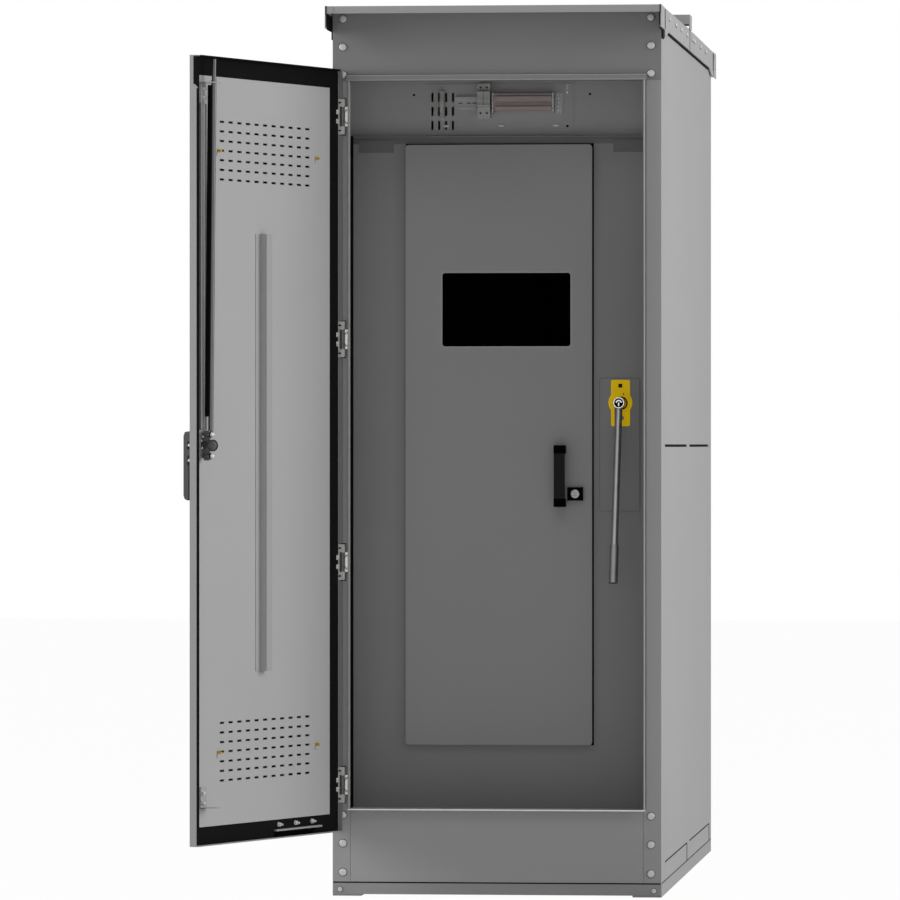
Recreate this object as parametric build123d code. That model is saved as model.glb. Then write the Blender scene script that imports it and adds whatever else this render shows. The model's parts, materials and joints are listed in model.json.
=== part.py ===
"""Outdoor metal switchgear cubicle with its outer door open, an inner dead front door and an operating handle."""
import math
import os

from build123d import *

# Driving sizes of the cubicle in millimetres. X runs across the front, +Y to the back, +Z up.
WIDTH = 914.4
DEPTH = 2286.0
BODY_TOP = 2460.0
BASE_H = 38.1
SHEET = 3.0
THIN = 2.0
HALF = WIDTH / 2
FRONT = -DEPTH / 2
BACK = DEPTH / 2

# Front opening: posts beside it, sill below, header above, and the raised lip round it.
POST_W = 48.9
SILL_H = 204.9
HEADER_H = 198.0
LIP_T = 5.0
LIP_OUT = 17.0
LIP_HEAD = 16.5
RETURN_IN = 20.0
SEAM = 0.8
OPEN_X = HALF - POST_W
SILL_TOP = BASE_H + SILL_H
HEAD_LOW = BODY_TOP - HEADER_H

# Depths behind the front plane, and the ledge between the two compartments.
DEAD_FRONT = 254.0
UPPER_SET = 32.0
LEDGE_DROP = 142.0
DEAD_GAP = 29.7
UPPER_BACK = DEAD_FRONT + UPPER_SET
LEDGE_Z = HEAD_LOW - LEDGE_DROP
DEAD_X = HALF - DEAD_GAP
FLOOR_TOP = BASE_H + SHEET

# Anchor holes in the feet of the base rails.
RAIL_W = 80.0
RAIL_T = 4.0
ANCHOR_IN = 45.2
ANCHOR_END = 83.0
ANCHOR_R = 8.0

# Roof.
ROOF_OUT = 6.5
ROOF_FRONT = -120.0
ROOF_REAR = DEPTH + 124.0
ROOF_MID = DEPTH / 2 + 7.0
RIDGE_UP = 6.7
EAVE_UP = 3.0
FLANGE_DROP = 54.5
FASCIA_DROP = 17.0
ROOF_X = HALF + ROOF_OUT
RIDGE_Z = BODY_TOP + RIDGE_UP
EAVE_Z = BODY_TOP + EAVE_UP
FLANGE_Z = BODY_TOP - FLANGE_DROP

# Outer door, in its own frame: x from the hinge corner, y out of the rim plane towards the cubicle, z up.
HINGE_OUT = 20.3
DOOR_STAND = 9.0
DOOR_LAP = 18.4
DOOR_OVER_SILL = 64.4
DOOR_OVER_HEAD = 31.3
DOOR_D = 24.5
LINER_SET = 12.0
BEVEL = 12.0
DOOR_ANGLE = 110.45
DOOR_X = -OPEN_X - HINGE_OUT
DOOR_Y = FRONT - DOOR_STAND
DOOR_W = OPEN_X + DOOR_LAP - DOOR_X
DOOR_Z0 = SILL_TOP - DOOR_OVER_SILL
DOOR_Z1 = HEAD_LOW + DOOR_OVER_HEAD
PAN_BACK = SHEET - DOOR_D

# Liner tray of the outer door and its two fields of vent slots.
LINER_X0 = 55.4
LINER_X1 = DOOR_W - 31.7
LINER_Z0 = DOOR_Z0 + 50.9
LINER_Z1 = DOOR_Z1 - 52.4
VENT_COLS = 11
VENT_ROWS = 7
VENT_PITCH_S = 50.29
VENT_PITCH_Z = 25.83
VENT_LONG = 25.4
VENT_HIGH = 6.0
VENT_EDGE = 120.0

# Outer hinges.
HINGE_H = 99.0
HINGE_END = 130.0
LUG_H = 22.0
LUG_PLAY = 0.5
BARREL_R = 5.5
PIN_R = 2.5
LEAF_W = 14.2
LEAF_T = 5.0
HINGE_PITCH = (DOOR_Z1 - DOOR_Z0 - 2 * HINGE_END) / 3
HINGE_Z = [DOOR_Z0 + HINGE_END + i * HINGE_PITCH for i in range(4)]

# Latch, rod and handle on the outer door.
LATCH_IN = 59.3
LATCH_UP = 14.45
SHAFT_R = 8.0
ROD_OUT = 17.3
ROD_LEAN = 0.58
ROD_R = 7.0
ROD_TIP_R = 5.8
ROD_UNDER_HEAD = 6.0
LATCH_S = DOOR_W - LATCH_IN
LATCH_Z = (DOOR_Z0 + DOOR_Z1) / 2 + LATCH_UP
ROD_TOP = HEAD_LOW - ROD_UNDER_HEAD

# Inner door on the dead front.
IN_LEFT, IN_RIGHT = 149.0, 180.9
IN_RISE = 372.0
IN_BELOW_LEDGE = 25.6
IN_STAND = 14.0
IN_DEPTH = 12.0
IN_X0 = -DEAD_X + IN_LEFT
IN_X1 = DEAD_X - IN_RIGHT
IN_Z0 = BASE_H + IN_RISE
IN_Z1 = LEDGE_Z - IN_BELOW_LEDGE
IN_FACE = DEAD_FRONT - IN_STAND
IN_AXIS_X = IN_X0 + 2.5
IN_AXIS_Y = FRONT + IN_FACE + 6.0
IN_HINGE_Z = [IN_Z0 + 150.0, (IN_Z0 + IN_Z1) / 2, IN_Z1 - 150.0]
IN_PIN_R = 1.75
IN_BARREL_R = 3.5
LOCK_X = IN_X1 - 46.8
LOCK_Z = 1114.7
LOCK_R = 12.0

# Operating handle of the switch.
HUB_X = HALF - 130.8
HUB_Z = 1369.5
HUB_FRONT = 174.0
HUB_R = 15.9
HANDLE_LONG = 501.5
HANDLE_R = 9.8
GRIP_R = 12.5

# Running clearances.
PIN_PLAY = 0.05
SLIDE_PLAY = 0.5


def yf(distance):
    """Y of a plane that lies this far behind the front plane."""
    return FRONT + distance


def block(x0, x1, y0, y1, z0, z1):
    return Pos((x0 + x1) / 2, (y0 + y1) / 2, (z0 + z1) / 2) * Box(x1 - x0, y1 - y0, z1 - z0)


def post_z(x, y, z0, z1, r):
    return Pos(x, y, (z0 + z1) / 2) * Cylinder(r, z1 - z0)


def dowel_y(x, z, y0, y1, r):
    return Pos(x, (y0 + y1) / 2, z) * Rot(90, 0, 0) * Cylinder(r, y1 - y0)


def dowel_x(y, z, x0, x1, r):
    return Pos((x0 + x1) / 2, y, z) * Rot(0, 90, 0) * Cylinder(r, x1 - x0)


def plate_y(x0, x1, z0, z1, y0, y1, r):
    """Plate that faces Y, with round corners."""
    face = Plane.XZ.offset(-y0) * Pos((x0 + x1) / 2, (z0 + z1) / 2) * RectangleRounded(x1 - x0, z1 - z0, r)
    return extrude(face, y1 - y0, dir=(0, 1, 0))


def prism_x(points, x0, x1):
    """Outline of (y, z) points carried along X."""
    return extrude(Plane.YZ.offset(x0) * Polygon(*points, align=None), x1 - x0, dir=(1, 0, 0))


def prism_z(points, z0, z1):
    """Outline of (x, y) points carried up."""
    return extrude(Pos(0, 0, z0) * Polygon(*points, align=None), z1 - z0, dir=(0, 0, 1))


def bar(start, end, r):
    """Round bar between two points."""
    line = Vector(*end) - Vector(*start)
    return extrude(Plane(origin=start, z_dir=line) * Circle(r), line.length)


def group(shapes):
    return Compound(children=list(shapes))


def door_rest(shape):
    """Put a shape from the outer door's own frame where the open door holds it."""
    return Pos(DOOR_X, DOOR_Y, 0) * Rot(0, 0, -DOOR_ANGLE) * shape


def mirrored(shape):
    return mirror(shape, Plane.YZ)


# Base and body

def base_rail():
    """Right rail, a channel open to the inside, with two anchor holes in its foot."""
    inner = HALF - RAIL_W
    rail = block(HALF - RAIL_T, HALF, yf(RAIL_T), BACK - RAIL_T, 0, BASE_H)
    rail += block(inner, HALF, FRONT, BACK, 0, RAIL_T)
    rail += block(inner, HALF, yf(RAIL_T), BACK - RAIL_T, BASE_H - RAIL_T, BASE_H)
    for y in (FRONT + ANCHOR_END, BACK - ANCHOR_END):
        rail -= post_z(HALF - ANCHOR_IN, y, -1, RAIL_T + 1, ANCHOR_R)
    return rail


def base_crossmember(y_out, inward):
    """Front or rear channel of the base, seen as the plain plate under the sill."""
    y_in = y_out + inward * RAIL_T
    y_leg = y_out + inward * 10 * RAIL_T
    low = RAIL_T + SEAM
    member = block(-HALF, HALF, min(y_out, y_in), max(y_out, y_in), low, BASE_H)
    legs = (min(y_in, y_leg), max(y_in, y_leg))
    inner = HALF - RAIL_W
    member += block(-inner, inner, legs[0], legs[1], BASE_H - RAIL_T, BASE_H)
    member += block(-inner, inner, legs[0], legs[1], low, low + RAIL_T)
    return member


def floor_plate():
    return block(-HALF + SHEET, HALF - SHEET, yf(SHEET), BACK - SHEET, BASE_H, FLOOR_TOP)


# Each side has two lengths of slot and skirt, before and behind the roof's middle seam.
SLOT_Z = 1249.9
SLOT_H = 7.2
SIDE_SLOTS = ((150.0, ROOF_MID - 44), (ROOF_MID + 81, DEPTH - 132))
SKIRTS = ((150.0, ROOF_MID - 30), (ROOF_MID + 81, DEPTH - 102))
SKIRT_H = 53.0
SKIRT_GAP = 2.5


def side_panel():
    """Right side sheet with its two long slots and the notches of the skirt covers."""
    panel = block(HALF - SHEET, HALF, yf(SHEET), BACK - SHEET, BASE_H, BODY_TOP)
    for start, end in SIDE_SLOTS:
        panel -= block(HALF - 2 * SHEET, HALF + 1, yf(start), yf(end), SLOT_Z - SLOT_H / 2, SLOT_Z + SLOT_H / 2)
    for start, end in SKIRTS:
        notch = Pos(HALF, yf((start + end) / 2), BASE_H) * Box(4 * SHEET, end - start, 2 * SKIRT_H)
        panel -= fillet(notch.edges().filter_by(Axis.X), 8)
    return panel


def skirt_covers(sign):
    """Flush covers over the skirt notches of one side, each with a joggled edge behind the sheet."""
    covers = []
    for start, end in SKIRTS:
        plate = Pos(HALF - SHEET / 2, yf((start + end) / 2), BASE_H)
        plate *= Box(SHEET, end - start - 2 * SKIRT_GAP, 2 * (SKIRT_H - SKIRT_GAP))
        plate = fillet(plate.edges().filter_by(Axis.X), 6)
        plate &= block(0, HALF, FRONT, BACK, BASE_H, BASE_H + SKIRT_H)
        plate += block(HALF - SHEET - THIN, HALF - SHEET, yf(start - 12), yf(end + 12), FLOOR_TOP, BASE_H + SKIRT_H + 12)
        covers.append(plate if sign > 0 else mirrored(plate))
    return group(covers)


def slot_seals():
    """Dark strips that close the side slots from inside."""
    strips = []
    for start, end in SIDE_SLOTS:
        strip = block(HALF - SHEET - 4, HALF - SHEET, yf(start - 8), yf(end + 8), SLOT_Z - 12, SLOT_Z + 12)
        strips += [strip, mirrored(strip)]
    return group(strips)


def rear_panel():
    return block(-HALF, HALF, BACK - SHEET, BACK, BASE_H, BODY_TOP)


def front_post():
    """Right post: outer flange, raised lip that meets the door's gasket, and a folded return."""
    post = block(OPEN_X, HALF, FRONT, yf(SHEET), BASE_H, HEAD_LOW - SEAM)
    post += block(OPEN_X, OPEN_X + LIP_T, yf(-LIP_OUT), FRONT, SILL_TOP, HEAD_LOW - SEAM)
    post += block(OPEN_X + RETURN_IN, OPEN_X + RETURN_IN + SHEET, yf(SHEET), yf(43), SILL_TOP, HEAD_LOW - SEAM)
    return post


def header_panel():
    """Header with the deep lip over the opening, which reaches past the posts' lips."""
    panel = block(-HALF, HALF, FRONT, yf(SHEET), HEAD_LOW, BODY_TOP)
    panel += block(-OPEN_X - LIP_T - 3, OPEN_X + LIP_T + 3, yf(-LIP_OUT), FRONT, HEAD_LOW, HEAD_LOW + LIP_HEAD)
    panel += block(-OPEN_X, OPEN_X, yf(SHEET), yf(43), HEAD_LOW, HEAD_LOW + SHEET)
    return panel


def sill_panel():
    panel = block(-OPEN_X + SEAM, OPEN_X - SEAM, FRONT, yf(SHEET), BASE_H, SILL_TOP)
    panel += block(-OPEN_X - LIP_T, OPEN_X + LIP_T, yf(-LIP_OUT), FRONT, SILL_TOP - LIP_T, SILL_TOP)
    panel += block(-OPEN_X + SEAM, OPEN_X - SEAM, yf(SHEET), yf(43), SILL_TOP - SHEET, SILL_TOP)
    return panel


# Roof

def roof_section(edge, low_edge, tab, tab_low):
    """Half of the roof: sheet, two side flanges with their corner tabs, and the end fascia."""
    out = 1 if edge > ROOF_MID else -1
    sheet = prism_x([(yf(edge), EAVE_Z - SHEET), (yf(edge), EAVE_Z), (yf(ROOF_MID), RIDGE_Z), (yf(ROOF_MID), RIDGE_Z - SHEET)],
                    -ROOF_X, ROOF_X)
    profile = [(yf(edge), EAVE_Z - SHEET / 2), (yf(edge), low_edge), (yf(tab[0]), low_edge), (yf(tab[0]), tab_low),
               (yf(tab[1]), FLANGE_Z), (yf(ROOF_MID), FLANGE_Z), (yf(ROOF_MID), RIDGE_Z - SHEET / 2)]
    flange = prism_x(profile, ROOF_X - SHEET, ROOF_X)
    ends = sorted((yf(edge), yf(edge) - out * SHEET))
    fascia = block(-ROOF_X, ROOF_X, ends[0], ends[1], BODY_TOP - FASCIA_DROP, EAVE_Z - SHEET / 2)
    return sheet + flange + mirrored(flange) + fascia


CHEEK_T = 1.8


def roof_cheek(edge, inner, low):
    """One right-hand corner cover, folded round the end of the roof."""
    out = 1 if edge > ROOF_MID else -1
    side = sorted((yf(edge) + out * CHEEK_T, yf(inner)))
    fold = sorted((yf(edge) + out * CHEEK_T, yf(edge)))
    cheek = block(ROOF_X, ROOF_X + CHEEK_T, side[0], side[1], low, EAVE_Z)
    cheek += block(ROOF_X - 20, ROOF_X + CHEEK_T, fold[0], fold[1], BODY_TOP - FASCIA_DROP, EAVE_Z)
    return cheek


def roof_cheeks():
    """Outer corner covers over the roof's four ends."""
    front = roof_cheek(ROOF_FRONT, 12.0, FLANGE_Z - 3)
    rear = roof_cheek(ROOF_REAR, DEPTH + 6, FLANGE_Z - 19)
    return group([front, mirrored(front), rear, mirrored(rear)])


def roof_seals():
    """Dark foam under the roof's side flanges and blocks under its front corners."""
    low = FLANGE_Z - 6
    strip = block(HALF, ROOF_X - SHEET, yf(222), yf(DEPTH - 180), low, FLANGE_Z)
    corner = block(HALF, ROOF_X - SHEET, yf(0), yf(64), FLANGE_Z - 28, FLANGE_Z - 2)
    return group([strip, mirrored(strip), corner, mirrored(corner)])


CAP_OUT = 3.3
CAP_HALF = 46.5
CAP_AT = ROOF_MID - 3.5
CAP_LOW = BODY_TOP + 20.0
CAP_TOP = BODY_TOP + 48.0


def ridge_cap():
    """Raised cap over the roof's middle seam, with a vent gap under its long edges."""
    y0, y1 = yf(CAP_AT - CAP_HALF), yf(CAP_AT + CAP_HALF)
    x_out = ROOF_X + CAP_OUT
    under = CAP_TOP - 2.5
    cap = block(-x_out, x_out, y0, y1, under, CAP_TOP)
    cap += block(-x_out, x_out, y0, y0 + THIN, CAP_LOW, under)
    cap += block(-x_out, x_out, y1 - THIN, y1, CAP_LOW, under)
    end = block(x_out - 2.5, x_out, y0, y1, RIDGE_Z, under)
    end += block(ROOF_X, ROOF_X + 2.3, yf(ROOF_MID - 16), yf(ROOF_MID + 16), FLANGE_Z, RIDGE_Z + CAP_OUT)
    end += block(ROOF_X - 24, x_out, yf(CAP_AT - 26), yf(CAP_AT + 26), RIDGE_Z, RIDGE_Z + 2.5)
    return cap + end + mirrored(end)


# Dead front and the compartment over it

DOORWAY_EDGE = 16.5
DOORWAY_LOCK_EDGE = 20.6


def dead_front_panel():
    """Inner front sheet with the doorway behind the inner door and a ledge along its top."""
    panel = block(-DEAD_X, DEAD_X, yf(DEAD_FRONT), yf(DEAD_FRONT + SHEET), FLOOR_TOP, LEDGE_Z)
    panel -= plate_y(IN_X0 + DOORWAY_EDGE, IN_X1 - DOORWAY_LOCK_EDGE, IN_Z0 + DOORWAY_EDGE, IN_Z1 - DOORWAY_EDGE,
                     yf(DEAD_FRONT - 1), yf(DEAD_FRONT + SHEET + 1), 6)
    panel += block(-DEAD_X, DEAD_X, yf(DEAD_FRONT), yf(UPPER_BACK), LEDGE_Z - SHEET, LEDGE_Z)
    return panel


def dead_front_seals():
    strip = block(DEAD_X, HALF - 8, yf(DEAD_FRONT - 4), yf(DEAD_FRONT + SHEET), FLOOR_TOP, LEDGE_Z)
    return group([strip, mirrored(strip)])


def ledge_brackets():
    """Two flat stiffening plates under the ledge."""
    plates = []
    for x0, x1 in ((-DEAD_X + 16.5, -DEAD_X + 114.5), (DEAD_X - 121.5, DEAD_X - 24.5)):
        plates.append(block(x0, x1, yf(DEAD_FRONT - THIN), yf(DEAD_FRONT), LEDGE_Z - 47, LEDGE_Z - 13))
    return group(plates)


GRILLE_X = (-207.0, -188.0, -168.5, -149.0)
GRILLE_UP = (31.0, 70.5, 109.5)
GRILLE_W, GRILLE_H = 6.2, 25.0
GRILLE_X0, EQUIP_X0, EQUIP_X1 = -217.0, -141.0, 192.3
EQUIP_TOP = HEAD_LOW + 5.7
EQUIP_FACE = UPPER_BACK - THIN


def upper_back_panel():
    panel = block(-HALF + SHEET, HALF - SHEET, yf(UPPER_BACK), yf(UPPER_BACK + SHEET), LEDGE_Z - SHEET, BODY_TOP)
    panel -= block(GRILLE_X0 + 3, EQUIP_X0 - 1, yf(UPPER_BACK - 1), yf(UPPER_BACK + SHEET + 1), LEDGE_Z + 16, LEDGE_Z + 125)
    return panel


def vent_grille():
    """Twelve slots at the left end of the equipment plate."""
    plate = block(GRILLE_X0, EQUIP_X0, yf(EQUIP_FACE), yf(UPPER_BACK), LEDGE_Z + 4, EQUIP_TOP)
    for x in GRILLE_X:
        for up in GRILLE_UP:
            z = LEDGE_Z + up
            plate -= block(x - GRILLE_W / 2, x + GRILLE_W / 2, yf(EQUIP_FACE - 1), yf(UPPER_BACK + 1),
                           z - GRILLE_H / 2, z + GRILLE_H / 2)
    return plate


def equipment_plate():
    """Back plate of the small devices, with its two bent hanging tabs."""
    plate = block(EQUIP_X0, EQUIP_X1, yf(EQUIP_FACE), yf(UPPER_BACK), LEDGE_Z + 4, EQUIP_TOP)
    for x in (-13.0, 142.0):
        plate += block(x - 8, x + 8, yf(EQUIP_FACE - 3), yf(EQUIP_FACE), LEDGE_Z + 26, LEDGE_Z + 33)
    return plate


RAIL_Z = LEDGE_Z + 93.0
BREAKER_X0, BREAKER_X1 = -75.7, -40.3


def din_rail():
    """Top-hat rail that carries the breaker and the relay."""
    x0, x1 = EQUIP_X0, BREAKER_X0 - 6
    face = EQUIP_FACE
    profile = [(0, -13), (0, 13), (-7.5, 13), (-7.5, 18), (-8.5, 18), (-8.5, 12), (-1, 12), (-1, -12), (-8.5, -12),
               (-8.5, -18), (-7.5, -18), (-7.5, -13)]
    return prism_x([(yf(face + y), RAIL_Z + z) for y, z in profile], x0, x1)


def breaker():
    """Two-pole breaker with stepped front and its toggles."""
    z = RAIL_Z + 4
    profile = [(0, -44), (0, 44), (-44, 49), (-44, 27), (-58, 27), (-58, -14), (-44, -20), (-44, -49)]
    body = prism_x([(yf(EQUIP_FACE + y), z + up) for y, up in profile], BREAKER_X0, BREAKER_X1)
    for x in (BREAKER_X0 + 9, BREAKER_X1 - 9):
        body += block(x - 4, x + 4, yf(EQUIP_FACE - 65), yf(EQUIP_FACE - 58), z - 4, z + 6)
    return body


def relay():
    """Slim timing relay that sits between the grille's middle columns."""
    face = EQUIP_FACE
    x = (GRILLE_X[1] + GRILLE_X[2]) / 2
    body = block(x - 5.9, x + 5.9, yf(face - 22), yf(face), LEDGE_Z + 52, LEDGE_Z + 126)
    body += block(x - 4.5, x + 4.5, yf(face - 30), yf(face - 22), LEDGE_Z + 66, LEDGE_Z + 104)
    return body


HEAT_X0, HEAT_X1 = -32.0, 134.0
HEAT_Z = LEDGE_Z + 93.0


def heater():
    """Strip heater: a flat body with two long rounded elements."""
    face = EQUIP_FACE
    body = block(HEAT_X0, HEAT_X1, yf(face - 26), yf(face - 8), HEAT_Z - 22, HEAT_Z + 26)
    for z, r in ((HEAT_Z + 12, 9.0), (HEAT_Z - 15, 6.5)):
        profile = [(-26, -r), (-32, -0.55 * r), (-32, 0.55 * r), (-26, r)]
        body += prism_x([(yf(face + y), z + up) for y, up in profile], HEAT_X0 + 6, HEAT_X1 - 2)
    return body


def heater_brackets():
    face = EQUIP_FACE
    left = block(HEAT_X0 - 4, HEAT_X0, yf(face - 34), yf(face), HEAT_Z - 29, HEAT_Z + 29)
    right = block(HEAT_X1, HEAT_X1 + 4, yf(face - 34), yf(face), HEAT_Z - 29, HEAT_Z + 29)
    right += block(HEAT_X1 + 4, HEAT_X1 + 26, yf(face - 3), yf(face), HEAT_Z - 29, HEAT_Z + 29)
    return group([left, right])


def mechanism_cover():
    """Plain cover plate of the switch mechanism, behind the operating handle."""
    return plate_y(HUB_X - 59.8, HUB_X + 54, HUB_Z - 304.1, HUB_Z + 70.1, yf(DEAD_FRONT - THIN), yf(DEAD_FRONT), 8)


def handle_lock_plate():
    """Shaped plate behind the operating handle: round boss, square hole above it, notched slot below."""
    y0, y1 = yf(DEAD_FRONT - 2 * THIN), yf(DEAD_FRONT - THIN)
    plate = plate_y(HUB_X - 27, HUB_X + 26, HUB_Z - 65.1, HUB_Z + 64.7, y0, y1, 5)
    plate += dowel_y(HUB_X - 1, HUB_Z + 1, y0, y1, 33.5)
    plate -= block(HUB_X - 6.5, HUB_X + 4.5, y0 - 1, y1 + 1, HUB_Z + 43, HUB_Z + 54)
    plate -= block(HUB_X - 17.4, HUB_X + 3.6, y0 - 1, y1 + 1, HUB_Z - 66, HUB_Z)
    plate -= dowel_y(HUB_X + 3.6, HUB_Z - 42, y0 - 1, y1 + 1, 6.0)
    plate -= dowel_y(HUB_X, HUB_Z, y0 - 1, y1 + 1, 14.0)
    return plate


COLLAR_R = 13.5
COLLAR_GAP = 4.0
HUB_LONG = 28.0


def shaft_collar():
    """Fixed bearing that carries the operating shaft out of the dead front."""
    front, back = yf(HUB_FRONT + HUB_LONG + COLLAR_GAP), yf(DEAD_FRONT - THIN)
    collar = dowel_y(HUB_X, HUB_Z, front, back, COLLAR_R)
    collar -= dowel_y(HUB_X, HUB_Z, front - 1, back + 1, SHAFT_R + PIN_PLAY)
    return collar


# Operating handle

def handle_hub():
    """Socket ring on the shaft, with the shaft that runs in the collar."""
    front = yf(HUB_FRONT)
    hub = dowel_y(HUB_X, HUB_Z, front, front + HUB_LONG, HUB_R)
    hub -= dowel_y(HUB_X, HUB_Z, front - 1, front + 9, HUB_R - 4.5)
    hub += dowel_y(HUB_X, HUB_Z, front + HUB_LONG, yf(DEAD_FRONT - 2 * THIN), SHAFT_R)
    return hub


ROD_START = (HUB_X, yf(HUB_FRONT + 16), HUB_Z)
ROD_END = (HUB_X - 8.4, yf(76), HUB_Z - HANDLE_LONG)
GRIP_FROM = 0.79


def along_rod(t):
    return tuple(a + (b - a) * t for a, b in zip(ROD_START, ROD_END))


def handle_rod():
    """Steel tube of the handle, seated against the hub's ring."""
    rod = bar(along_rod(0.01), along_rod(GRIP_FROM), HANDLE_R)
    rod -= dowel_y(HUB_X, HUB_Z, yf(HUB_FRONT - 30), yf(HUB_FRONT + 60), HUB_R)
    return rod.solids().sort_by(Axis.Z)[0]


def handle_grip():
    return bar(along_rod(GRIP_FROM), along_rod(1.0), GRIP_R)


# Inner door

IN_CORNER = 9.0
WIN_X0 = IN_X0 + 103.7
WIN_X1 = IN_X1 - 60.2
WIN_Z1 = IN_Z1 - 359.7
WIN_Z0 = WIN_Z1 - 206.5
WIN_LAP = 7.0


def inner_door_panel():
    """Face sheet of the inner door with its window cut-out and lock hole."""
    y0, y1 = yf(IN_FACE), yf(IN_FACE + THIN)
    door = plate_y(IN_X0, IN_X1, IN_Z0, IN_Z1, y0, y1, IN_CORNER)
    door -= plate_y(WIN_X0, WIN_X1, WIN_Z0, WIN_Z1, y0 - 1, y1 + 1, 6)
    door -= dowel_y(LOCK_X, LOCK_Z, y0 - 1, y1 + 1, LOCK_R - 3 + PIN_PLAY)
    return door


def inner_door_rim():
    """Folded edges of the inner door: four flanges open at the corners, the hinge side's notched at the hinges."""
    y0, y1 = yf(IN_FACE + THIN), yf(IN_FACE + IN_DEPTH)
    across = (IN_X0 + IN_CORNER, IN_X1 - IN_CORNER)
    up = (IN_Z0 + IN_CORNER, IN_Z1 - IN_CORNER)
    flanges = [block(across[0], across[1], y0, y1, IN_Z0, IN_Z0 + THIN),
               block(across[0], across[1], y0, y1, IN_Z1 - THIN, IN_Z1),
               block(IN_X1 - THIN, IN_X1, y0, y1, up[0], up[1])]
    ends = [up[0]]
    for z in IN_HINGE_Z:
        ends += [z - 32, z + 32]
    ends.append(up[1])
    for z0, z1 in zip(ends[::2], ends[1::2]):
        flanges.append(block(IN_X0, IN_X0 + THIN, y0, y1, z0, z1))
    return group(flanges)


def window_pane():
    return block(WIN_X0 - WIN_LAP, WIN_X1 + WIN_LAP, yf(IN_FACE + THIN), yf(IN_FACE + THIN + 4),
                 WIN_Z0 - WIN_LAP, WIN_Z1 + WIN_LAP)


def inner_hinge_knuckles():
    """Fixed barrels of the inner door's concealed hinges, on the dead front."""
    pieces = []
    x, y = IN_AXIS_X, IN_AXIS_Y
    for z in IN_HINGE_Z:
        knuckle = post_z(x, y, z - 14.8, z + 14.8, IN_BARREL_R)
        knuckle += block(x - 2, x + 3, y, yf(DEAD_FRONT), z - 14.8, z + 14.8)
        knuckle -= post_z(x, y, z - 16, z + 16, IN_PIN_R + PIN_PLAY)
        pieces.append(knuckle)
    return group(pieces)


def inner_door_hinges():
    """Two lugs and the pin of each concealed hinge, on the back of the inner door."""
    pieces = []
    x, y = IN_AXIS_X, IN_AXIS_Y
    for z in IN_HINGE_Z:
        hinge = post_z(x, y, z - 16, z + 16, IN_PIN_R)
        for z0, z1 in ((z - 30, z - 15), (z + 15, z + 30)):
            hinge += block(x - 2.5, x + IN_BARREL_R, yf(IN_FACE + THIN), y + IN_BARREL_R, z0, z1)
        pieces.append(hinge)
    return group(pieces)


PULL_W = 30.0
PULL_X = LOCK_X - 42.4
PULL_Z0, PULL_Z1 = LOCK_Z - 35.5, LOCK_Z + 135.6
PULL_OUT = 42.0
PULL_BAR = 15.0
PULL_FOOT = 21.8


def pull_handle():
    """Bow handle: two feet on the door and a grip bar in front of them, its long edges bevelled."""
    x0, x1 = PULL_X - PULL_W / 2, PULL_X + PULL_W / 2
    front = IN_FACE - PULL_OUT
    handle = block(x0, x1, yf(front), yf(IN_FACE), PULL_Z0, PULL_Z1)
    outer = handle.edges().filter_by(Axis.X).sort_by(Axis.Y)[:2]
    handle = chamfer(outer, 4)
    handle -= block(x0 - 1, x1 + 1, yf(front + PULL_BAR), yf(IN_FACE + 1), PULL_Z0 + PULL_FOOT, PULL_Z1 - PULL_FOOT)
    return handle


def lock_body():
    body = block(LOCK_X - 21.8, LOCK_X + 21.8, yf(IN_FACE - 12), yf(IN_FACE), LOCK_Z - 18.6, LOCK_Z + 18.7)
    body -= dowel_y(LOCK_X, LOCK_Z, yf(IN_FACE - 13), yf(IN_FACE + 1), LOCK_R + PIN_PLAY)
    return body


def lock_cylinder():
    """Lock barrel with its cam behind the dead front sheet, pointing down when unlocked."""
    back = IN_FACE + 23
    barrel = dowel_y(LOCK_X, LOCK_Z, yf(IN_FACE - 13), yf(IN_FACE), LOCK_R)
    barrel += dowel_y(LOCK_X, LOCK_Z, yf(IN_FACE), yf(back), LOCK_R - 3)
    barrel += block(LOCK_X - 8, LOCK_X + 8, yf(back - 1), yf(back + 2), LOCK_Z - 40, LOCK_Z + 9)
    barrel -= block(LOCK_X - 1, LOCK_X + 1, yf(IN_FACE - 14), yf(IN_FACE - 8), LOCK_Z - 5, LOCK_Z + 5)
    return barrel


# Outer door, in its own frame

def outer_door_pan():
    """Folded door tray with a bevelled hinge edge, hinge notches and a relief at its top free corner."""
    outline = Polygon((0, 0), (0, -DOOR_D + BEVEL), (BEVEL, -DOOR_D), (DOOR_W, -DOOR_D), (DOOR_W, 0), align=None)
    inside = offset(outline, -SHEET, kind=Kind.INTERSECTION)
    pan = extrude(Pos(0, 0, DOOR_Z0) * outline, DOOR_Z1 - DOOR_Z0)
    pan -= extrude(Pos(0, 0, DOOR_Z0 + SHEET) * inside, DOOR_Z1 - DOOR_Z0 - 2 * SHEET)
    pan -= block(SHEET, DOOR_W - SHEET, -SHEET - 1, 1, DOOR_Z0 + SHEET, DOOR_Z1 - SHEET)
    for z in HINGE_Z:
        pan -= block(-1, SHEET + 1, -BARREL_R - 1.5, 1, z - HINGE_H / 2 - 3, z + HINGE_H / 2 + 3)
    low = LINER_Z1 - 36
    pan -= prism_x([(1, low), (0, low), (-9.5, low + 10), (-9.5, DOOR_Z1 + 1), (1, DOOR_Z1 + 1)], DOOR_W - 4 * SHEET, DOOR_W + 1)
    pan -= dowel_y(LATCH_S, LATCH_Z, -DOOR_D - 1, PAN_BACK + 1, SHAFT_R + PIN_PLAY)
    return door_rest(pan)


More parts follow.
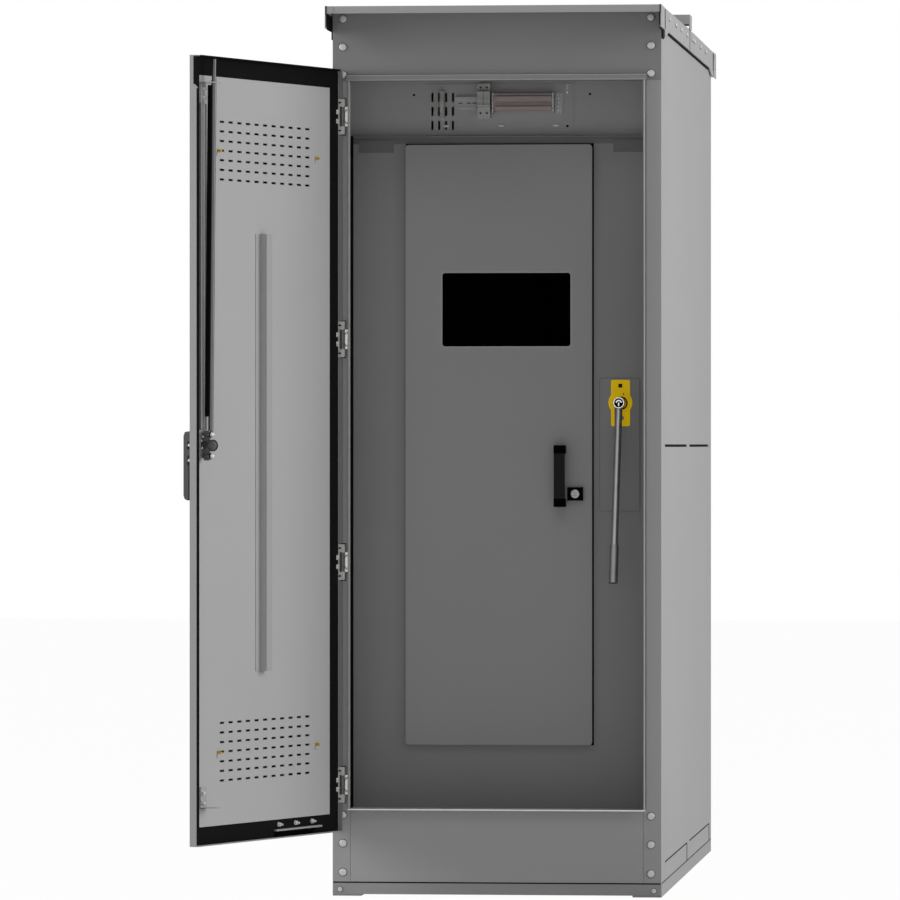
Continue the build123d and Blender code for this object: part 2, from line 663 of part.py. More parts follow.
def door_gasket():
    """Wide dark seal round the inside of the door, bevelled like its hinge edge, which the front lips press on."""
    foot = BEVEL + 0.5 * SHEET
    face = -LINER_SET
    section = [(foot, PAN_BACK), (foot - (face - PAN_BACK), face), (DOOR_W - SHEET, face), (DOOR_W - SHEET, PAN_BACK)]
    ring = prism_z(section, DOOR_Z0 + SHEET, DOOR_Z1 - SHEET)
    ring -= block(LINER_X0, LINER_X1, -DOOR_D, 0, LINER_Z0, LINER_Z1)
    return door_rest(ring)


def vent_places():
    """Middle of each vent slot of the liner, as lists of columns and of the rows of both fields."""
    middle = (LINER_X0 + LINER_X1) / 2 + 2.7
    cols = [middle + (i - (VENT_COLS - 1) / 2) * VENT_PITCH_S for i in range(VENT_COLS)]
    upper = [LINER_Z1 - VENT_EDGE - i * VENT_PITCH_Z for i in range(VENT_ROWS)]
    lower = [LINER_Z0 + VENT_EDGE + i * VENT_PITCH_Z for i in range(VENT_ROWS)]
    return cols, upper, lower


def door_liner():
    """Shallow liner tray on the door's inside, with two fields of vent slots."""
    face = -LINER_SET
    liner = block(LINER_X0, LINER_X1, PAN_BACK, face, LINER_Z0, LINER_Z1)
    liner -= block(LINER_X0 + THIN, LINER_X1 - THIN, PAN_BACK - 1, face - THIN, LINER_Z0 + THIN, LINER_Z1 - THIN)
    cols, upper, lower = vent_places()
    slots = []
    for z in upper + lower:
        for s in cols:
            slots.append(block(s - VENT_LONG / 2, s + VENT_LONG / 2, face - THIN - 1, face + 1,
                               z - VENT_HIGH / 2, z + VENT_HIGH / 2))
    liner -= slots
    liner -= dowel_y(LATCH_S, LATCH_Z, face - THIN - 1, face + 1, SHAFT_R + 4)
    return door_rest(liner)


def vent_filters():
    """Dark filter pads behind the liner's vent slots."""
    cols, upper, lower = vent_places()
    pads = []
    for rows in (upper, lower):
        pads.append(block(cols[0] - 26, cols[-1] + 26, PAN_BACK, -LINER_SET - THIN, min(rows) - 18, max(rows) + 18))
    return group([door_rest(pad) for pad in pads])


def vent_clips():
    """Four small turn clips that hold the filter pads."""
    cols, upper, lower = vent_places()
    face = -LINER_SET
    clips = []
    for rows in (upper, lower):
        z = rows[VENT_ROWS // 2] - 1
        for s in (cols[0] - 52, cols[-1] + 23):
            clip = block(s - 7, s + 7, face, face + 3, z - 4, z + 4)
            clip += block(s - 3, s + 3, face + 3, face + 9, z - 3, z + 3)
            clips.append(door_rest(clip))
    return group(clips)


STIFF_X = 443.8
STIFF_TOP = 32.0
STIFF_FOOT = 24.8
STIFF_H = 22.4


def door_stiffener():
    """Hat section stiffener down the middle of the liner."""
    y, t = -LINER_SET, THIN
    x0, x1 = STIFF_X, STIFF_X + STIFF_TOP
    z0, z1 = LINER_Z0 + 408.5, LINER_Z1 - 415.9
    outline = [(x0 - STIFF_FOOT, y), (x0 + t, y), (x0 + t, y + STIFF_H - t), (x1 - t, y + STIFF_H - t), (x1 - t, y),
               (x1 + STIFF_FOOT, y), (x1 + STIFF_FOOT, y + t), (x1, y + t), (x1, y + STIFF_H), (x0, y + STIFF_H),
               (x0, y + t), (x0 - STIFF_FOOT, y + t)]
    return door_rest(prism_z(outline, z0, z1))


GUIDE_TOP = LINER_Z1 - 18.0
GUIDE_LOW = LINER_Z0 + 49.5
GUIDE_H = 58.0
GUIDE_T = 3.0


CHANNEL_UP = 6.0


def latch_edge_bar():
    """Shallow channel on the liner's edge between the rod's guide and the latch, open towards the rod."""
    y = -LINER_SET
    x0, x1 = LATCH_S - 5, LINER_X1
    z0, z1 = LATCH_Z + 42, GUIDE_TOP - GUIDE_H
    channel = block(x0, x1, y, y + CHANNEL_UP, z0, z1)
    channel -= block(x0 + THIN, x1 - THIN, y + THIN, y + CHANNEL_UP + 1, z0 - 1, z1 + 1)
    return door_rest(channel)


CASE_UP = 7.0


def latch_case():
    """Cast latch bracket: bored housing, and a side plate with a round roller boss and two bolt ears."""
    y = -LINER_SET
    x0, x1 = LATCH_S - 14, LATCH_S + 12
    case = block(x0, x1, y, y + CASE_UP, LATCH_Z - 22, LATCH_Z + 22)
    case -= dowel_y(LATCH_S, LATCH_Z, y - 1, y + CASE_UP + 1, SHAFT_R + PIN_PLAY)
    web = [(y, -16), (-4, -40), (12, -40), (14, -14), (14, 14), (12, 40), (-4, 40), (y, 16)]
    case += prism_x([(h, LATCH_Z + up) for h, up in web], x1, x1 + 4)
    case += dowel_x(12, LATCH_Z, x1, x1 + 9, 12.5)
    for up in (-30, 30):
        case += dowel_x(8, LATCH_Z + up, x1 + 4, x1 + 8, 7.0)
    return door_rest(case)


def guide_bracket(top, up):
    """Angle bracket on the liner whose flange holds the rod; the flange is at the top or the foot."""
    y = -LINER_SET
    z0, z1 = top - GUIDE_H, top
    x0, x1 = LATCH_S - 14, LATCH_S + 26
    bracket = block(LATCH_S - 8, x1, y, y + GUIDE_T, z0, z1)
    flange_z = (z1 - GUIDE_T, z1) if up else (z0, z0 + GUIDE_T)
    flange = [(x0, y), (x1, y), (x1, y + 18), (x0 + 22, ROD_OUT + 13), (x0, ROD_OUT + 13)]
    bracket += prism_z(flange, flange_z[0], flange_z[1])
    bracket -= post_z(LATCH_S, ROD_OUT, flange_z[0] - 1, flange_z[1] + 1, ROD_R + SLIDE_PLAY)
    return bracket


def rod_guides():
    """Top and foot guides of the latch rods."""
    return group([door_rest(guide_bracket(GUIDE_TOP, True)), door_rest(guide_bracket(GUIDE_LOW + GUIDE_H, False))])


def door_stay():
    """Stay bar along the door's foot, under its three screws."""
    z = DOOR_Z0 + 19.4
    return door_rest(block(118, 391, -LINER_SET, 9 - LINER_SET, z, z + 5))


def hinge_frame_leaves():
    """Cast leaves on the left post, each with the middle barrel of its hinge."""
    half = HINGE_H / 2 - LUG_H - LUG_PLAY
    leaf = block(0, LEAF_W, DOOR_STAND - LEAF_T, DOOR_STAND, -half, half)
    leaf += block(0, BARREL_R, 0, DOOR_STAND, -half, half)
    leaf += post_z(0, 0, -half, half, BARREL_R)
    leaf -= post_z(0, 0, -half - 1, half + 1, PIN_R + PIN_PLAY)
    for z in (-half / 2, half / 2):
        leaf -= Pos(BARREL_R + 1, DOOR_STAND / 2, z) * Rot(0, 45, 0) * Box(4, 2 * DOOR_STAND, 4)
    return group([Pos(DOOR_X, DOOR_Y, z) * leaf for z in HINGE_Z])


def hinge_door_leaves():
    """Brackets inside the door tray, each with two slotted lugs and the pin between them."""
    half = HINGE_H / 2
    reach = DOOR_STAND - 0.8
    plate_x = SHEET + 3
    seat = -DOOR_D + BEVEL + 1.8
    back = [(SHEET, -BARREL_R - 1.5), (SHEET, seat), (plate_x, seat), (plate_x, -BARREL_R - 1.5)]
    lug = [(-0.67 * reach, 0.6 * reach), (-0.67 * reach, -0.67 * reach), (SHEET, -0.67 * reach), (SHEET, seat),
           (plate_x, seat), (plate_x, reach), (-0.35 * reach, 0.92 * reach)]
    leaf = prism_z(back, -half, half) + post_z(0, 0, -half + LUG_H - 1, half - LUG_H + 1, PIN_R)
    for z0 in (-half, half - LUG_H):
        leaf += prism_z(lug, z0, z0 + LUG_H)
        middle = z0 + LUG_H / 2
        leaf -= block(plate_x - 1.5, plate_x + 1, -10, -3.5, middle - 1.8, middle + 1.8)
    return group([door_rest(Pos(0, 0, z) * leaf) for z in HINGE_Z])


PLATE_OUT = 3.0
LEVER_OUT = 40.5


def outer_escutcheon():
    """Plate on the door's outside that carries the handle."""
    y0, y1 = -DOOR_D - PLATE_OUT, -DOOR_D
    plate = plate_y(LATCH_S - 22, LATCH_S + 22, LATCH_Z - 152, LATCH_Z + 40, y0, y1, 8)
    plate -= dowel_y(LATCH_S, LATCH_Z, y0 - 1, y1 + 1, SHAFT_R + PIN_PLAY)
    return door_rest(plate)


# Latch handle and rod, in the outer door's frame

def latch_handle():
    """Lever on the door's outside: a boss on its shaft and a grip that stands off the plate."""
    skin = -DOOR_D - PLATE_OUT
    out = skin - LEVER_OUT
    side = [(skin, -14), (skin, 14), (out + 14, 38), (out + 4, 36), (out, 26), (out, -134), (out + 4, -144),
            (out + 12, -147), (out + 15, -140), (out + 15, -30)]
    lever = prism_x([(y, LATCH_Z + up) for y, up in side], LATCH_S - 13, LATCH_S + 13)
    lever += dowel_y(LATCH_S, LATCH_Z, skin, CASE_UP - LINER_SET, SHAFT_R)
    return door_rest(lever)


def rod_rest(shape):
    """Put a shape from the rod's own frame, with z along it and 0 at the top guide, where the leaning rod is."""
    return door_rest(Pos(LATCH_S, ROD_OUT, GUIDE_TOP) * Rot(-ROD_LEAN, 0, 0) * shape)


ROD_LOW = LATCH_Z + 31 - GUIDE_TOP
ROD_SHOULDER = 6.0
SHIELD_LOW = LATCH_Z + 77 - GUIDE_TOP
SHIELD_TOP = -GUIDE_T - 5.5


def latch_rod():
    """Rod from the latch through the top guide, with a slimmer tip."""
    rod = post_z(0, 0, ROD_LOW, ROD_SHOULDER, ROD_R)
    return rod_rest(rod + post_z(0, 0, ROD_SHOULDER, ROD_TOP - GUIDE_TOP, ROD_TIP_R))


def rod_shield():
    """Dark strip that is fixed along the rod's side and moves with it."""
    strip = block(ROD_R - 1, ROD_R + 3, -13.3, -2.2, SHIELD_LOW, SHIELD_TOP)
    return rod_rest(strip - post_z(0, 0, SHIELD_LOW - 1, SHIELD_TOP + 1, ROD_R))


NODES = {
    "base_rail_left": lambda: mirrored(base_rail()),
    "base_rail_right": base_rail,
    "base_crossmembers": lambda: group([base_crossmember(FRONT, 1), base_crossmember(BACK, -1)]),
    "floor_plate": floor_plate,
    "left_side_panel": lambda: mirrored(side_panel()),
    "right_side_panel": side_panel,
    "left_skirt_covers": lambda: skirt_covers(-1),
    "right_skirt_covers": lambda: skirt_covers(1),
    "side_slot_seals": slot_seals,
    "rear_panel": rear_panel,
    "front_post_left": lambda: mirrored(front_post()),
    "front_post_right": front_post,
    "header_panel": header_panel,
    "sill_panel": sill_panel,
    "roof_front": lambda: roof_section(ROOF_FRONT, FLANGE_Z - 2.5, (64.0, 220.0), FLANGE_Z - 24.5),
    "roof_rear": lambda: roof_section(ROOF_REAR, FLANGE_Z - 16.5, (DEPTH - 24, DEPTH - 180), FLANGE_Z - 22.5),
    "roof_cheeks": roof_cheeks,
    "roof_corner_seals": roof_seals,
    "roof_ridge_cap": ridge_cap,
    "dead_front_panel": dead_front_panel,
    "dead_front_seals": dead_front_seals,
    "ledge_brackets": ledge_brackets,
    "upper_back_panel": upper_back_panel,
    "vent_grille": vent_grille,
    "equipment_plate": equipment_plate,
    "din_rail": din_rail,
    "breaker": breaker,
    "relay": relay,
    "heater": heater,
    "heater_brackets": heater_brackets,
    "mechanism_cover": mechanism_cover,
    "handle_lock_plate": handle_lock_plate,
    "shaft_collar": shaft_collar,
    "hinge_frame_leaves": hinge_frame_leaves,
    "inner_hinge_knuckles": inner_hinge_knuckles,
    "outer_door_pan": outer_door_pan,
    "door_gasket": door_gasket,
    "door_liner": door_liner,
    "vent_filters": vent_filters,
    "vent_clips": vent_clips,
    "door_stiffener": door_stiffener,
    "latch_edge_bar": latch_edge_bar,
    "latch_case": latch_case,
    "rod_guides": rod_guides,
    "door_stay": door_stay,
    "hinge_door_leaves": hinge_door_leaves,
    "outer_escutcheon": outer_escutcheon,
    "latch_handle": latch_handle,
    "latch_rod": latch_rod,
    "rod_shield": rod_shield,
    "inner_door_panel": inner_door_panel,
    "inner_door_rim": inner_door_rim,
    "window_pane": window_pane,
    "inner_door_hinges": inner_door_hinges,
    "pull_handle": pull_handle,
    "lock_body": lock_body,
    "lock_cylinder": lock_cylinder,
    "handle_hub": handle_hub,
    "handle_rod": handle_rod,
    "handle_grip": handle_grip,
}

os.makedirs("parts", exist_ok=True)
for name, make in NODES.items():
    export_step(make(), f"parts/{name}.step")
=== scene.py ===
"""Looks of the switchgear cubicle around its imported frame: paint, plating, seals, fasteners, lamps and camera."""
import json
import math

import bmesh
import bpy
from mathutils import Matrix, Vector

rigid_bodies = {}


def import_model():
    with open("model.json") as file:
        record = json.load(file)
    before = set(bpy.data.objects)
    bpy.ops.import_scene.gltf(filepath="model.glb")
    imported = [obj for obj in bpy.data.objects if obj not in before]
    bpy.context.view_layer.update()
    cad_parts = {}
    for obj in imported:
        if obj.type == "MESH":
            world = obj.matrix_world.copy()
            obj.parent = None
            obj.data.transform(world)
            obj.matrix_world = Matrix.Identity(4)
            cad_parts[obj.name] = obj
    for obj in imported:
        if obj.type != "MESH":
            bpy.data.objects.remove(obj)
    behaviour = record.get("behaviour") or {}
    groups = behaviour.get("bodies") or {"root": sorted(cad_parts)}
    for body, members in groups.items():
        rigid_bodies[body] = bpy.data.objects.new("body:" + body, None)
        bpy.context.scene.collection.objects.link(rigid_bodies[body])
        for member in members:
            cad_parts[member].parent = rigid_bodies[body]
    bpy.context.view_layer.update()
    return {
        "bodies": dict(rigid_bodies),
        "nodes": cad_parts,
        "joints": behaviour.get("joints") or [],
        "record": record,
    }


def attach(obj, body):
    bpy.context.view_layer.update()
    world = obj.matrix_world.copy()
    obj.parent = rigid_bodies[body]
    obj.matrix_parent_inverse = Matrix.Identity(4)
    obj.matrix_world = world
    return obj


MM = 0.001
# The cubicle's front plane, and the outer door's hinge line and angle in the photographed pose.
FRONT = -1143.0
DOOR_HINGE = (-428.6, FRONT - 9.0)
DOOR_ANGLE = 110.45


# Shader maths


class Value:
    """One shader number; sums and products written with it add their Math nodes."""

    def __init__(self, graph, socket):
        self.graph = graph
        self.socket = socket

    def math(self, operation, *others):
        node = self.graph.add("ShaderNodeMath", {"operation": operation}, self, *others)
        return Value(self.graph, node.outputs[0])

    def __add__(self, other):
        return self.math("ADD", other)

    def __radd__(self, other):
        return self.math("ADD", other)

    def __sub__(self, other):
        return self.math("SUBTRACT", other)

    def __rsub__(self, other):
        return (self * -1.0).math("ADD", other)

    def __mul__(self, other):
        return self.math("MULTIPLY", other)

    def __rmul__(self, other):
        return self.math("MULTIPLY", other)

    def clamp(self):
        return self.math("MAXIMUM", 0.0).math("MINIMUM", 1.0)


class Graph:
    """A tree of shader nodes; every node is added to it by one method."""

    def __init__(self, tree):
        self.tree = tree

    def feed(self, socket, value):
        """Links a value or a socket to a socket, or sets the socket to a constant."""
        if isinstance(value, Value):
            value = value.socket
        if isinstance(value, bpy.types.NodeSocket):
            self.tree.links.new(value, socket)
        else:
            socket.default_value = value

    def add(self, kind, settings=None, *values, **named):
        """Adds a node: its settings first, then what feeds its sockets, in order or by name."""
        node = self.tree.nodes.new(kind)
        for key, value in (settings or {}).items():
            setattr(node, key, value)
        for socket, value in zip(node.inputs, values):
            self.feed(socket, value)
        for key, value in named.items():
            self.feed(node.inputs[key.replace("_", " ")], value)
        return node

    def backdrop_rays(self):
        """1 on rays from the camera, and on those that shiny and clear surfaces send on."""
        path = self.add("ShaderNodeLightPath").outputs
        seen = Value(self, path["Is Camera Ray"]).math("MAXIMUM", path["Is Glossy Ray"])
        return seen.math("MAXIMUM", path["Is Transmission Ray"])


class Finish(Graph):
    """A material being mixed, whose nodes feed one Principled shader."""

    def __init__(self, name, colour, roughness, metallic=0.0, **shader):
        self.material = bpy.data.materials.new(name)
        self.material.use_nodes = True
        self.material.diffuse_color = (*colour, 1.0)
        super().__init__(self.material.node_tree)
        self.shader = self.tree.nodes["Principled BSDF"]
        self.set("Base Color", (*colour, 1.0))
        self.set("Roughness", roughness)
        self.set("Metallic", metallic)
        for key, value in shader.items():
            self.set(key.replace("_", " "), value)

    def set(self, name, value):
        self.feed(self.shader.inputs[name], value)

    def place(self):
        return self.add("ShaderNodeTexCoord").outputs["Object"]

    def noise(self, scale, detail=3.0, stretch=None, roughness=0.5):
        where = self.place()
        if stretch:
            where = self.add("ShaderNodeMapping", Vector=where, Scale=stretch).outputs["Vector"]
        made = self.add("ShaderNodeTexNoise", Vector=where, Scale=scale, Detail=detail, Roughness=roughness)
        return Value(self, made.outputs[0])

    def tint(self, factor, low, high):
        """Colour that runs from low to high as the factor runs from 0 to 1."""
        mix = self.add("ShaderNodeMix", {"data_type": "RGBA"}, factor)
        # sockets 6 and 7 and output 2 are the ones for colours
        self.feed(mix.inputs[6], (*low, 1.0))
        self.feed(mix.inputs[7], (*high, 1.0))
        return mix.outputs[2]

    def bump(self, height, strength, distance):
        made = self.add("ShaderNodeBump", Height=height, Strength=strength, Distance=distance)
        self.set("Normal", made.outputs["Normal"])


def scaled(colour, amount):
    return tuple(c * amount for c in colour)


def powder_coat(name, colour, rough=0.55, peel=0.35):
    """Baked powder coat: fine orange peel, slight drift of tone, roughness that varies a little."""
    paint = Finish(name, colour, rough, Specular_IOR_Level=0.35)
    drift = paint.noise(1.7, 2.0)
    grain = paint.noise(420.0, 2.0)
    tone = (drift * 0.7 + grain * 0.3).clamp()
    paint.set("Base Color", paint.tint(tone, scaled(colour, 0.93), scaled(colour, 1.07)))
    paint.set("Roughness", grain * 0.12 + (rough - 0.06))
    paint.bump(paint.noise(650.0, 2.0), peel, 0.00025)
    return paint.material


def plated_steel(name, colour, rough=0.32):
    """Zinc plated steel: faint rolling lines and cloudy passivation."""
    metal = Finish(name, colour, rough, 0.9)
    cloud = metal.noise(38.0, 4.0)
    metal.set("Base Color", metal.tint(cloud, scaled(colour, 0.78), scaled(colour, 1.15)))
    lines = metal.noise(60.0, 2.0, stretch=(14.0, 14.0, 1.0))
    metal.set("Roughness", lines * 0.2 + cloud * 0.12 + (rough - 0.14))
    metal.bump(lines, 0.12, 0.0002)
    return metal.material


def cast_metal(name, colour):
    """Die cast metal, tumbled: fine grain with darker hollows."""
    metal = Finish(name, colour, 0.45, 0.55)
    grain = metal.noise(240.0, 5.0)
    metal.set("Base Color", metal.tint(grain, scaled(colour, 0.7), scaled(colour, 1.2)))
    metal.set("Roughness", grain * 0.25 + 0.33)
    metal.bump(grain, 0.3, 0.0004)
    return metal.material


def brushed_steel(name, colour, rough):
    """Drawn steel bar: fine lengthwise lines with a trace of handling haze."""
    metal = Finish(name, colour, rough, 0.85)
    haze = metal.noise(24.0, 3.0)
    lines = metal.noise(90.0, 2.0, stretch=(12.0, 12.0, 1.0))
    metal.set("Roughness", haze * 0.12 + lines * 0.1 + (rough - 0.1))
    metal.set("Base Color", metal.tint(haze, scaled(colour, 0.85), scaled(colour, 1.12)))
    metal.bump(lines, 0.1, 0.0002)
    return metal.material


def foam_rubber(name, colour, cell=900.0):
    """Matt black seal foam with open pores."""
    foam = Finish(name, colour, 0.9, Specular_IOR_Level=0.06)
    pores = foam.noise(cell, 3.0)
    foam.set("Base Color", foam.tint(pores, scaled(colour, 0.5), scaled(colour, 1.6)))
    foam.bump(pores, 0.4, 0.0006)
    return foam.material


def moulded_plastic(name, colour, rough=0.42, shine=0.14):
    """Moulded plastic with a spark-eroded grain."""
    plastic = Finish(name, colour, rough, Specular_IOR_Level=shine)
    grain = plastic.noise(700.0, 2.0)
    cloud = plastic.noise(9.0, 2.0)
    plastic.set("Base Color", plastic.tint(cloud, scaled(colour, 0.88), scaled(colour, 1.12)))
    plastic.set("Roughness", grain * 0.14 + (rough - 0.07))
    plastic.bump(grain, 0.2, 0.0002)
    return plastic.material


def enamel(name, colour, painted_glow):
    """Safety yellow enamel: smooth, with faint waviness, and a faint glow that makes it brighter than the light on
    it alone: painted light.
    """
    coat = Finish(name, colour, 0.38, Specular_IOR_Level=0.12,
                  Emission_Color=(*colour, 1.0), Emission_Strength=painted_glow)
    wave = coat.noise(60.0, 2.0)
    coat.set("Base Color", coat.tint(wave, scaled(colour, 0.9), scaled(colour, 1.08)))
    coat.bump(wave, 0.08, 0.0004)
    return coat.material


def dark_glass(name):
    """Tinted viewing pane, nearly black from outside."""
    pane = Finish(name, (0.001, 0.001, 0.001), 0.12, Specular_IOR_Level=0.0)
    smear = pane.noise(7.0, 3.0)
    pane.set("Roughness", smear * 0.1 + 0.1)
    pane.set("Base Color", pane.tint(smear, (0.0004, 0.0004, 0.0005), (0.001, 0.001, 0.0012)))
    return pane.material


# Share of plain white in what the camera sees of the floor; the rest carries the object's shadow.
WHITE_SHARE = 0.975


def floor_finish(name):
    """Pale studio floor: white to the camera, and to glossy and clear surfaces, with the object's shadow kept."""
    floor = Finish(name, (0.80, 0.80, 0.80), 0.9, Specular_IOR_Level=0.0)
    cloud = floor.noise(0.6, 2.0)
    floor.set("Base Color", floor.tint(cloud, (0.79, 0.79, 0.79), (0.82, 0.82, 0.82)))
    white = floor.add("ShaderNodeEmission", Color=(1.0, 1.0, 1.0, 1.0), Strength=1.0)
    mix = floor.add("ShaderNodeMixShader", None, floor.backdrop_rays() * WHITE_SHARE,
                    floor.shader.outputs["BSDF"], white.outputs["Emission"])
    floor.feed(floor.tree.nodes["Material Output"].inputs["Surface"], mix.outputs[0])
    return floor.material


def galvanised(name, colour):
    """Hot-dip galvanised sheet: dull, with faint spangle."""
    metal = Finish(name, colour, 0.55, 0.35)
    spangle = metal.noise(70.0, 5.0, roughness=0.7)
    metal.set("Base Color", metal.tint(spangle, scaled(colour, 0.78), scaled(colour, 1.2)))
    metal.set("Roughness", spangle * 0.25 + 0.42)
    metal.bump(metal.noise(160.0, 3.0), 0.15, 0.0003)
    return metal.material


def dull_plate(name, colour):
    """Zinc flake coating of the bolt heads: pale, nearly matt."""
    metal = Finish(name, colour, 0.5, 0.25)
    cloud = metal.noise(110.0, 4.0)
    metal.set("Base Color", metal.tint(cloud, scaled(colour, 0.85), scaled(colour, 1.1)))
    metal.set("Roughness", cloud * 0.2 + 0.4)
    metal.bump(cloud, 0.15, 0.0003)
    return metal.material


def grey(amount):
    return (amount, amount, amount)


# Tone of the outer and of the inner paint, which the sheets' tones are shares of; some shares are painted light and
# painted shade.
PAINT = 0.40
INSIDE = 0.36
# Finish of each material slot of the record.
FINISHES = {
    "body_paint": powder_coat("powder_coat_body", grey(PAINT)),
    # The door's paint is a darker copy of the body paint: painted shade.
    "door_paint": powder_coat("powder_coat_door_painted_shade", grey(PAINT * 0.86)),
    "inner_paint": powder_coat("powder_coat_inner", grey(INSIDE)),
    "base_paint": powder_coat("powder_coat_base", grey(PAINT * 0.84)),
    "seal_rubber": foam_rubber("seal_foam", grey(0.006)),
    "filter_foam": foam_rubber("filter_foam", grey(0.004), 500.0),
    "zinc": plated_steel("zinc_plate", grey(0.40)),
    "cast_zinc": cast_metal("cast_zinc", grey(0.30)),
    "brass": plated_steel("brass_clip", (0.55, 0.36, 0.05)),
    # The yellow plate's enamel glows a little: painted light.
    "yellow_paint": enamel("safety_yellow", (0.84, 0.55, 0.0), 0.26),
    "chrome": brushed_steel("bright_plate", grey(0.36), 0.34),
    "black_plastic": moulded_plastic("black_moulding", grey(0.0035), shine=0.09),
    "device_plastic": moulded_plastic("device_moulding", (0.60, 0.60, 0.58)),
    "heater_metal": moulded_plastic("heater_elements", (0.56, 0.45, 0.45), 0.5),
    "dark_glass": dark_glass("viewing_pane"),
}
# Finishes of nodes and pieces that differ from the rest of their slot.
SPECIAL = {
    # Some sheets below are copies of one paint, made darker or lighter for the light on them. Painted shade is on
    # the side panels and skirt covers, and on the header under the roof's overhang. Painted light is on the door's
    # liner and stiffener, and on the upper compartment's back, plate and grille.
    "side_sheet": powder_coat("powder_coat_sides_painted_shade", grey(PAINT * 0.92)),
    "header_sheet": powder_coat("powder_coat_header_painted_shade", grey(PAINT * 0.66)),
    "liner_sheet": powder_coat("powder_coat_liner_painted_light", grey(PAINT * 1.30)),
    "stiffener_sheet": powder_coat("powder_coat_stiffener_painted_light", grey(PAINT * 1.14)),
    "upper_sheet": powder_coat("powder_coat_upper_painted_light", grey(INSIDE * 1.40)),
    "front_sheet": powder_coat("powder_coat_dead_front", grey(INSIDE * 0.83)),
    "leaf_sheet": powder_coat("powder_coat_inner_door", grey(INSIDE * 1.02)),
    "pale_lug": dull_plate("pale_lug", (0.90, 0.90, 0.87)),
    # Dark copy of the inner paint for the pads under the ledge and the mechanism cover's edge: painted shade.
    "painted_shade_sheet": powder_coat("powder_coat_shaded", grey(0.17)),
    "galvanised": galvanised("galvanised_sheet", grey(0.42)),
    # Zinc of the hinge's fixed leaves, and a painted highlight on the sill's nose.
    "zinc_and_painted_highlight": brushed_steel("zinc_and_painted_highlight", (0.50, 0.50, 0.47), 0.36),
    "bright_bar": brushed_steel("bright_bar", grey(0.78), 0.3),
    # Bright steel finish for the ledge's bead and the window's bead: painted highlight.
    "painted_highlight_edge": brushed_steel("ledge_bead", grey(0.24), 0.4),
    "mid_cast": cast_metal("mid_cast", grey(0.26)),
    # Dark copy of the inner paint for the strip under the ledge: painted shadow.
    "shade_strip": powder_coat("ledge_painted_shadow", grey(INSIDE * 0.5)),
    "dark_cast": cast_metal("dark_cast", grey(0.13)),
    "dark_rod": brushed_steel("dark_rod", grey(0.10), 0.3),
    "dark_hub": brushed_steel("dark_hub", grey(0.03), 0.3),
    "grip_steel": brushed_steel("grip_steel", grey(0.27), 0.45),
    "handle_cast": cast_metal("handle_cast", grey(0.05)),
    "deep_black": moulded_plastic("deep_black", grey(0.0012), 0.5, 0.01),
    "dull_head": dull_plate("dull_bolt_heads", (0.62, 0.62, 0.61)),
    "terminal": moulded_plastic("terminal_moulding", grey(0.10)),
    "pale_terminal": moulded_plastic("pale_terminal", grey(0.66)),
    "beige": moulded_plastic("beige_moulding", (0.62, 0.60, 0.52)),
    "end_caps": moulded_plastic("heater_end_caps", (0.46, 0.47, 0.43)),
}
NODE_FINISH = {
    "left_side_panel": "side_sheet", "right_side_panel": "side_sheet", "left_skirt_covers": "side_sheet",
    "right_skirt_covers": "side_sheet", "header_panel": "header_sheet", "door_liner": "liner_sheet",
    "door_stiffener": "stiffener_sheet", "upper_back_panel": "upper_sheet", "equipment_plate": "upper_sheet",
    "vent_grille": "upper_sheet", "dead_front_panel": "front_sheet", "mechanism_cover": "front_sheet",
    "inner_door_panel": "leaf_sheet", "inner_door_rim": "leaf_sheet", "ledge_brackets": "painted_shade_sheet",
    "latch_edge_bar": "galvanised", "rod_guides": "galvanised", "hinge_door_leaves": "pale_lug",
    "hinge_frame_leaves": "zinc_and_painted_highlight", "latch_handle": "handle_cast", "latch_case": "mid_cast",
    "din_rail": "galvanised", "heater_brackets": "galvanised", "latch_rod": "dark_rod", "handle_hub": "dark_hub",
    "handle_grip": "grip_steel", "lock_body": "deep_black", "lock_cylinder": "dull_head", "door_stay": "bright_bar",
}


# Mesh building, in millimetres in a placed frame

CUBICLE = Matrix.Translation((0.0, FRONT * MM, 0.0)) @ Matrix.Scale(MM, 4)
DOOR = (Matrix.Translation((DOOR_HINGE[0] * MM, DOOR_HINGE[1] * MM, 0.0))
        @ Matrix.Rotation(-math.radians(DOOR_ANGLE), 4, "Z") @ Matrix.Scale(MM, 4))
# Edges that turn by more than this many degrees stay sharp.
SHARP_FROM = 38


def facing(frame, point, outward):
    """Frame at a point of another frame, with its Z looking along outward."""
    turn = Vector(outward).normalized().to_track_quat("Z", "Y").to_matrix().to_4x4()
    return frame @ Matrix.Translation(point) @ turn


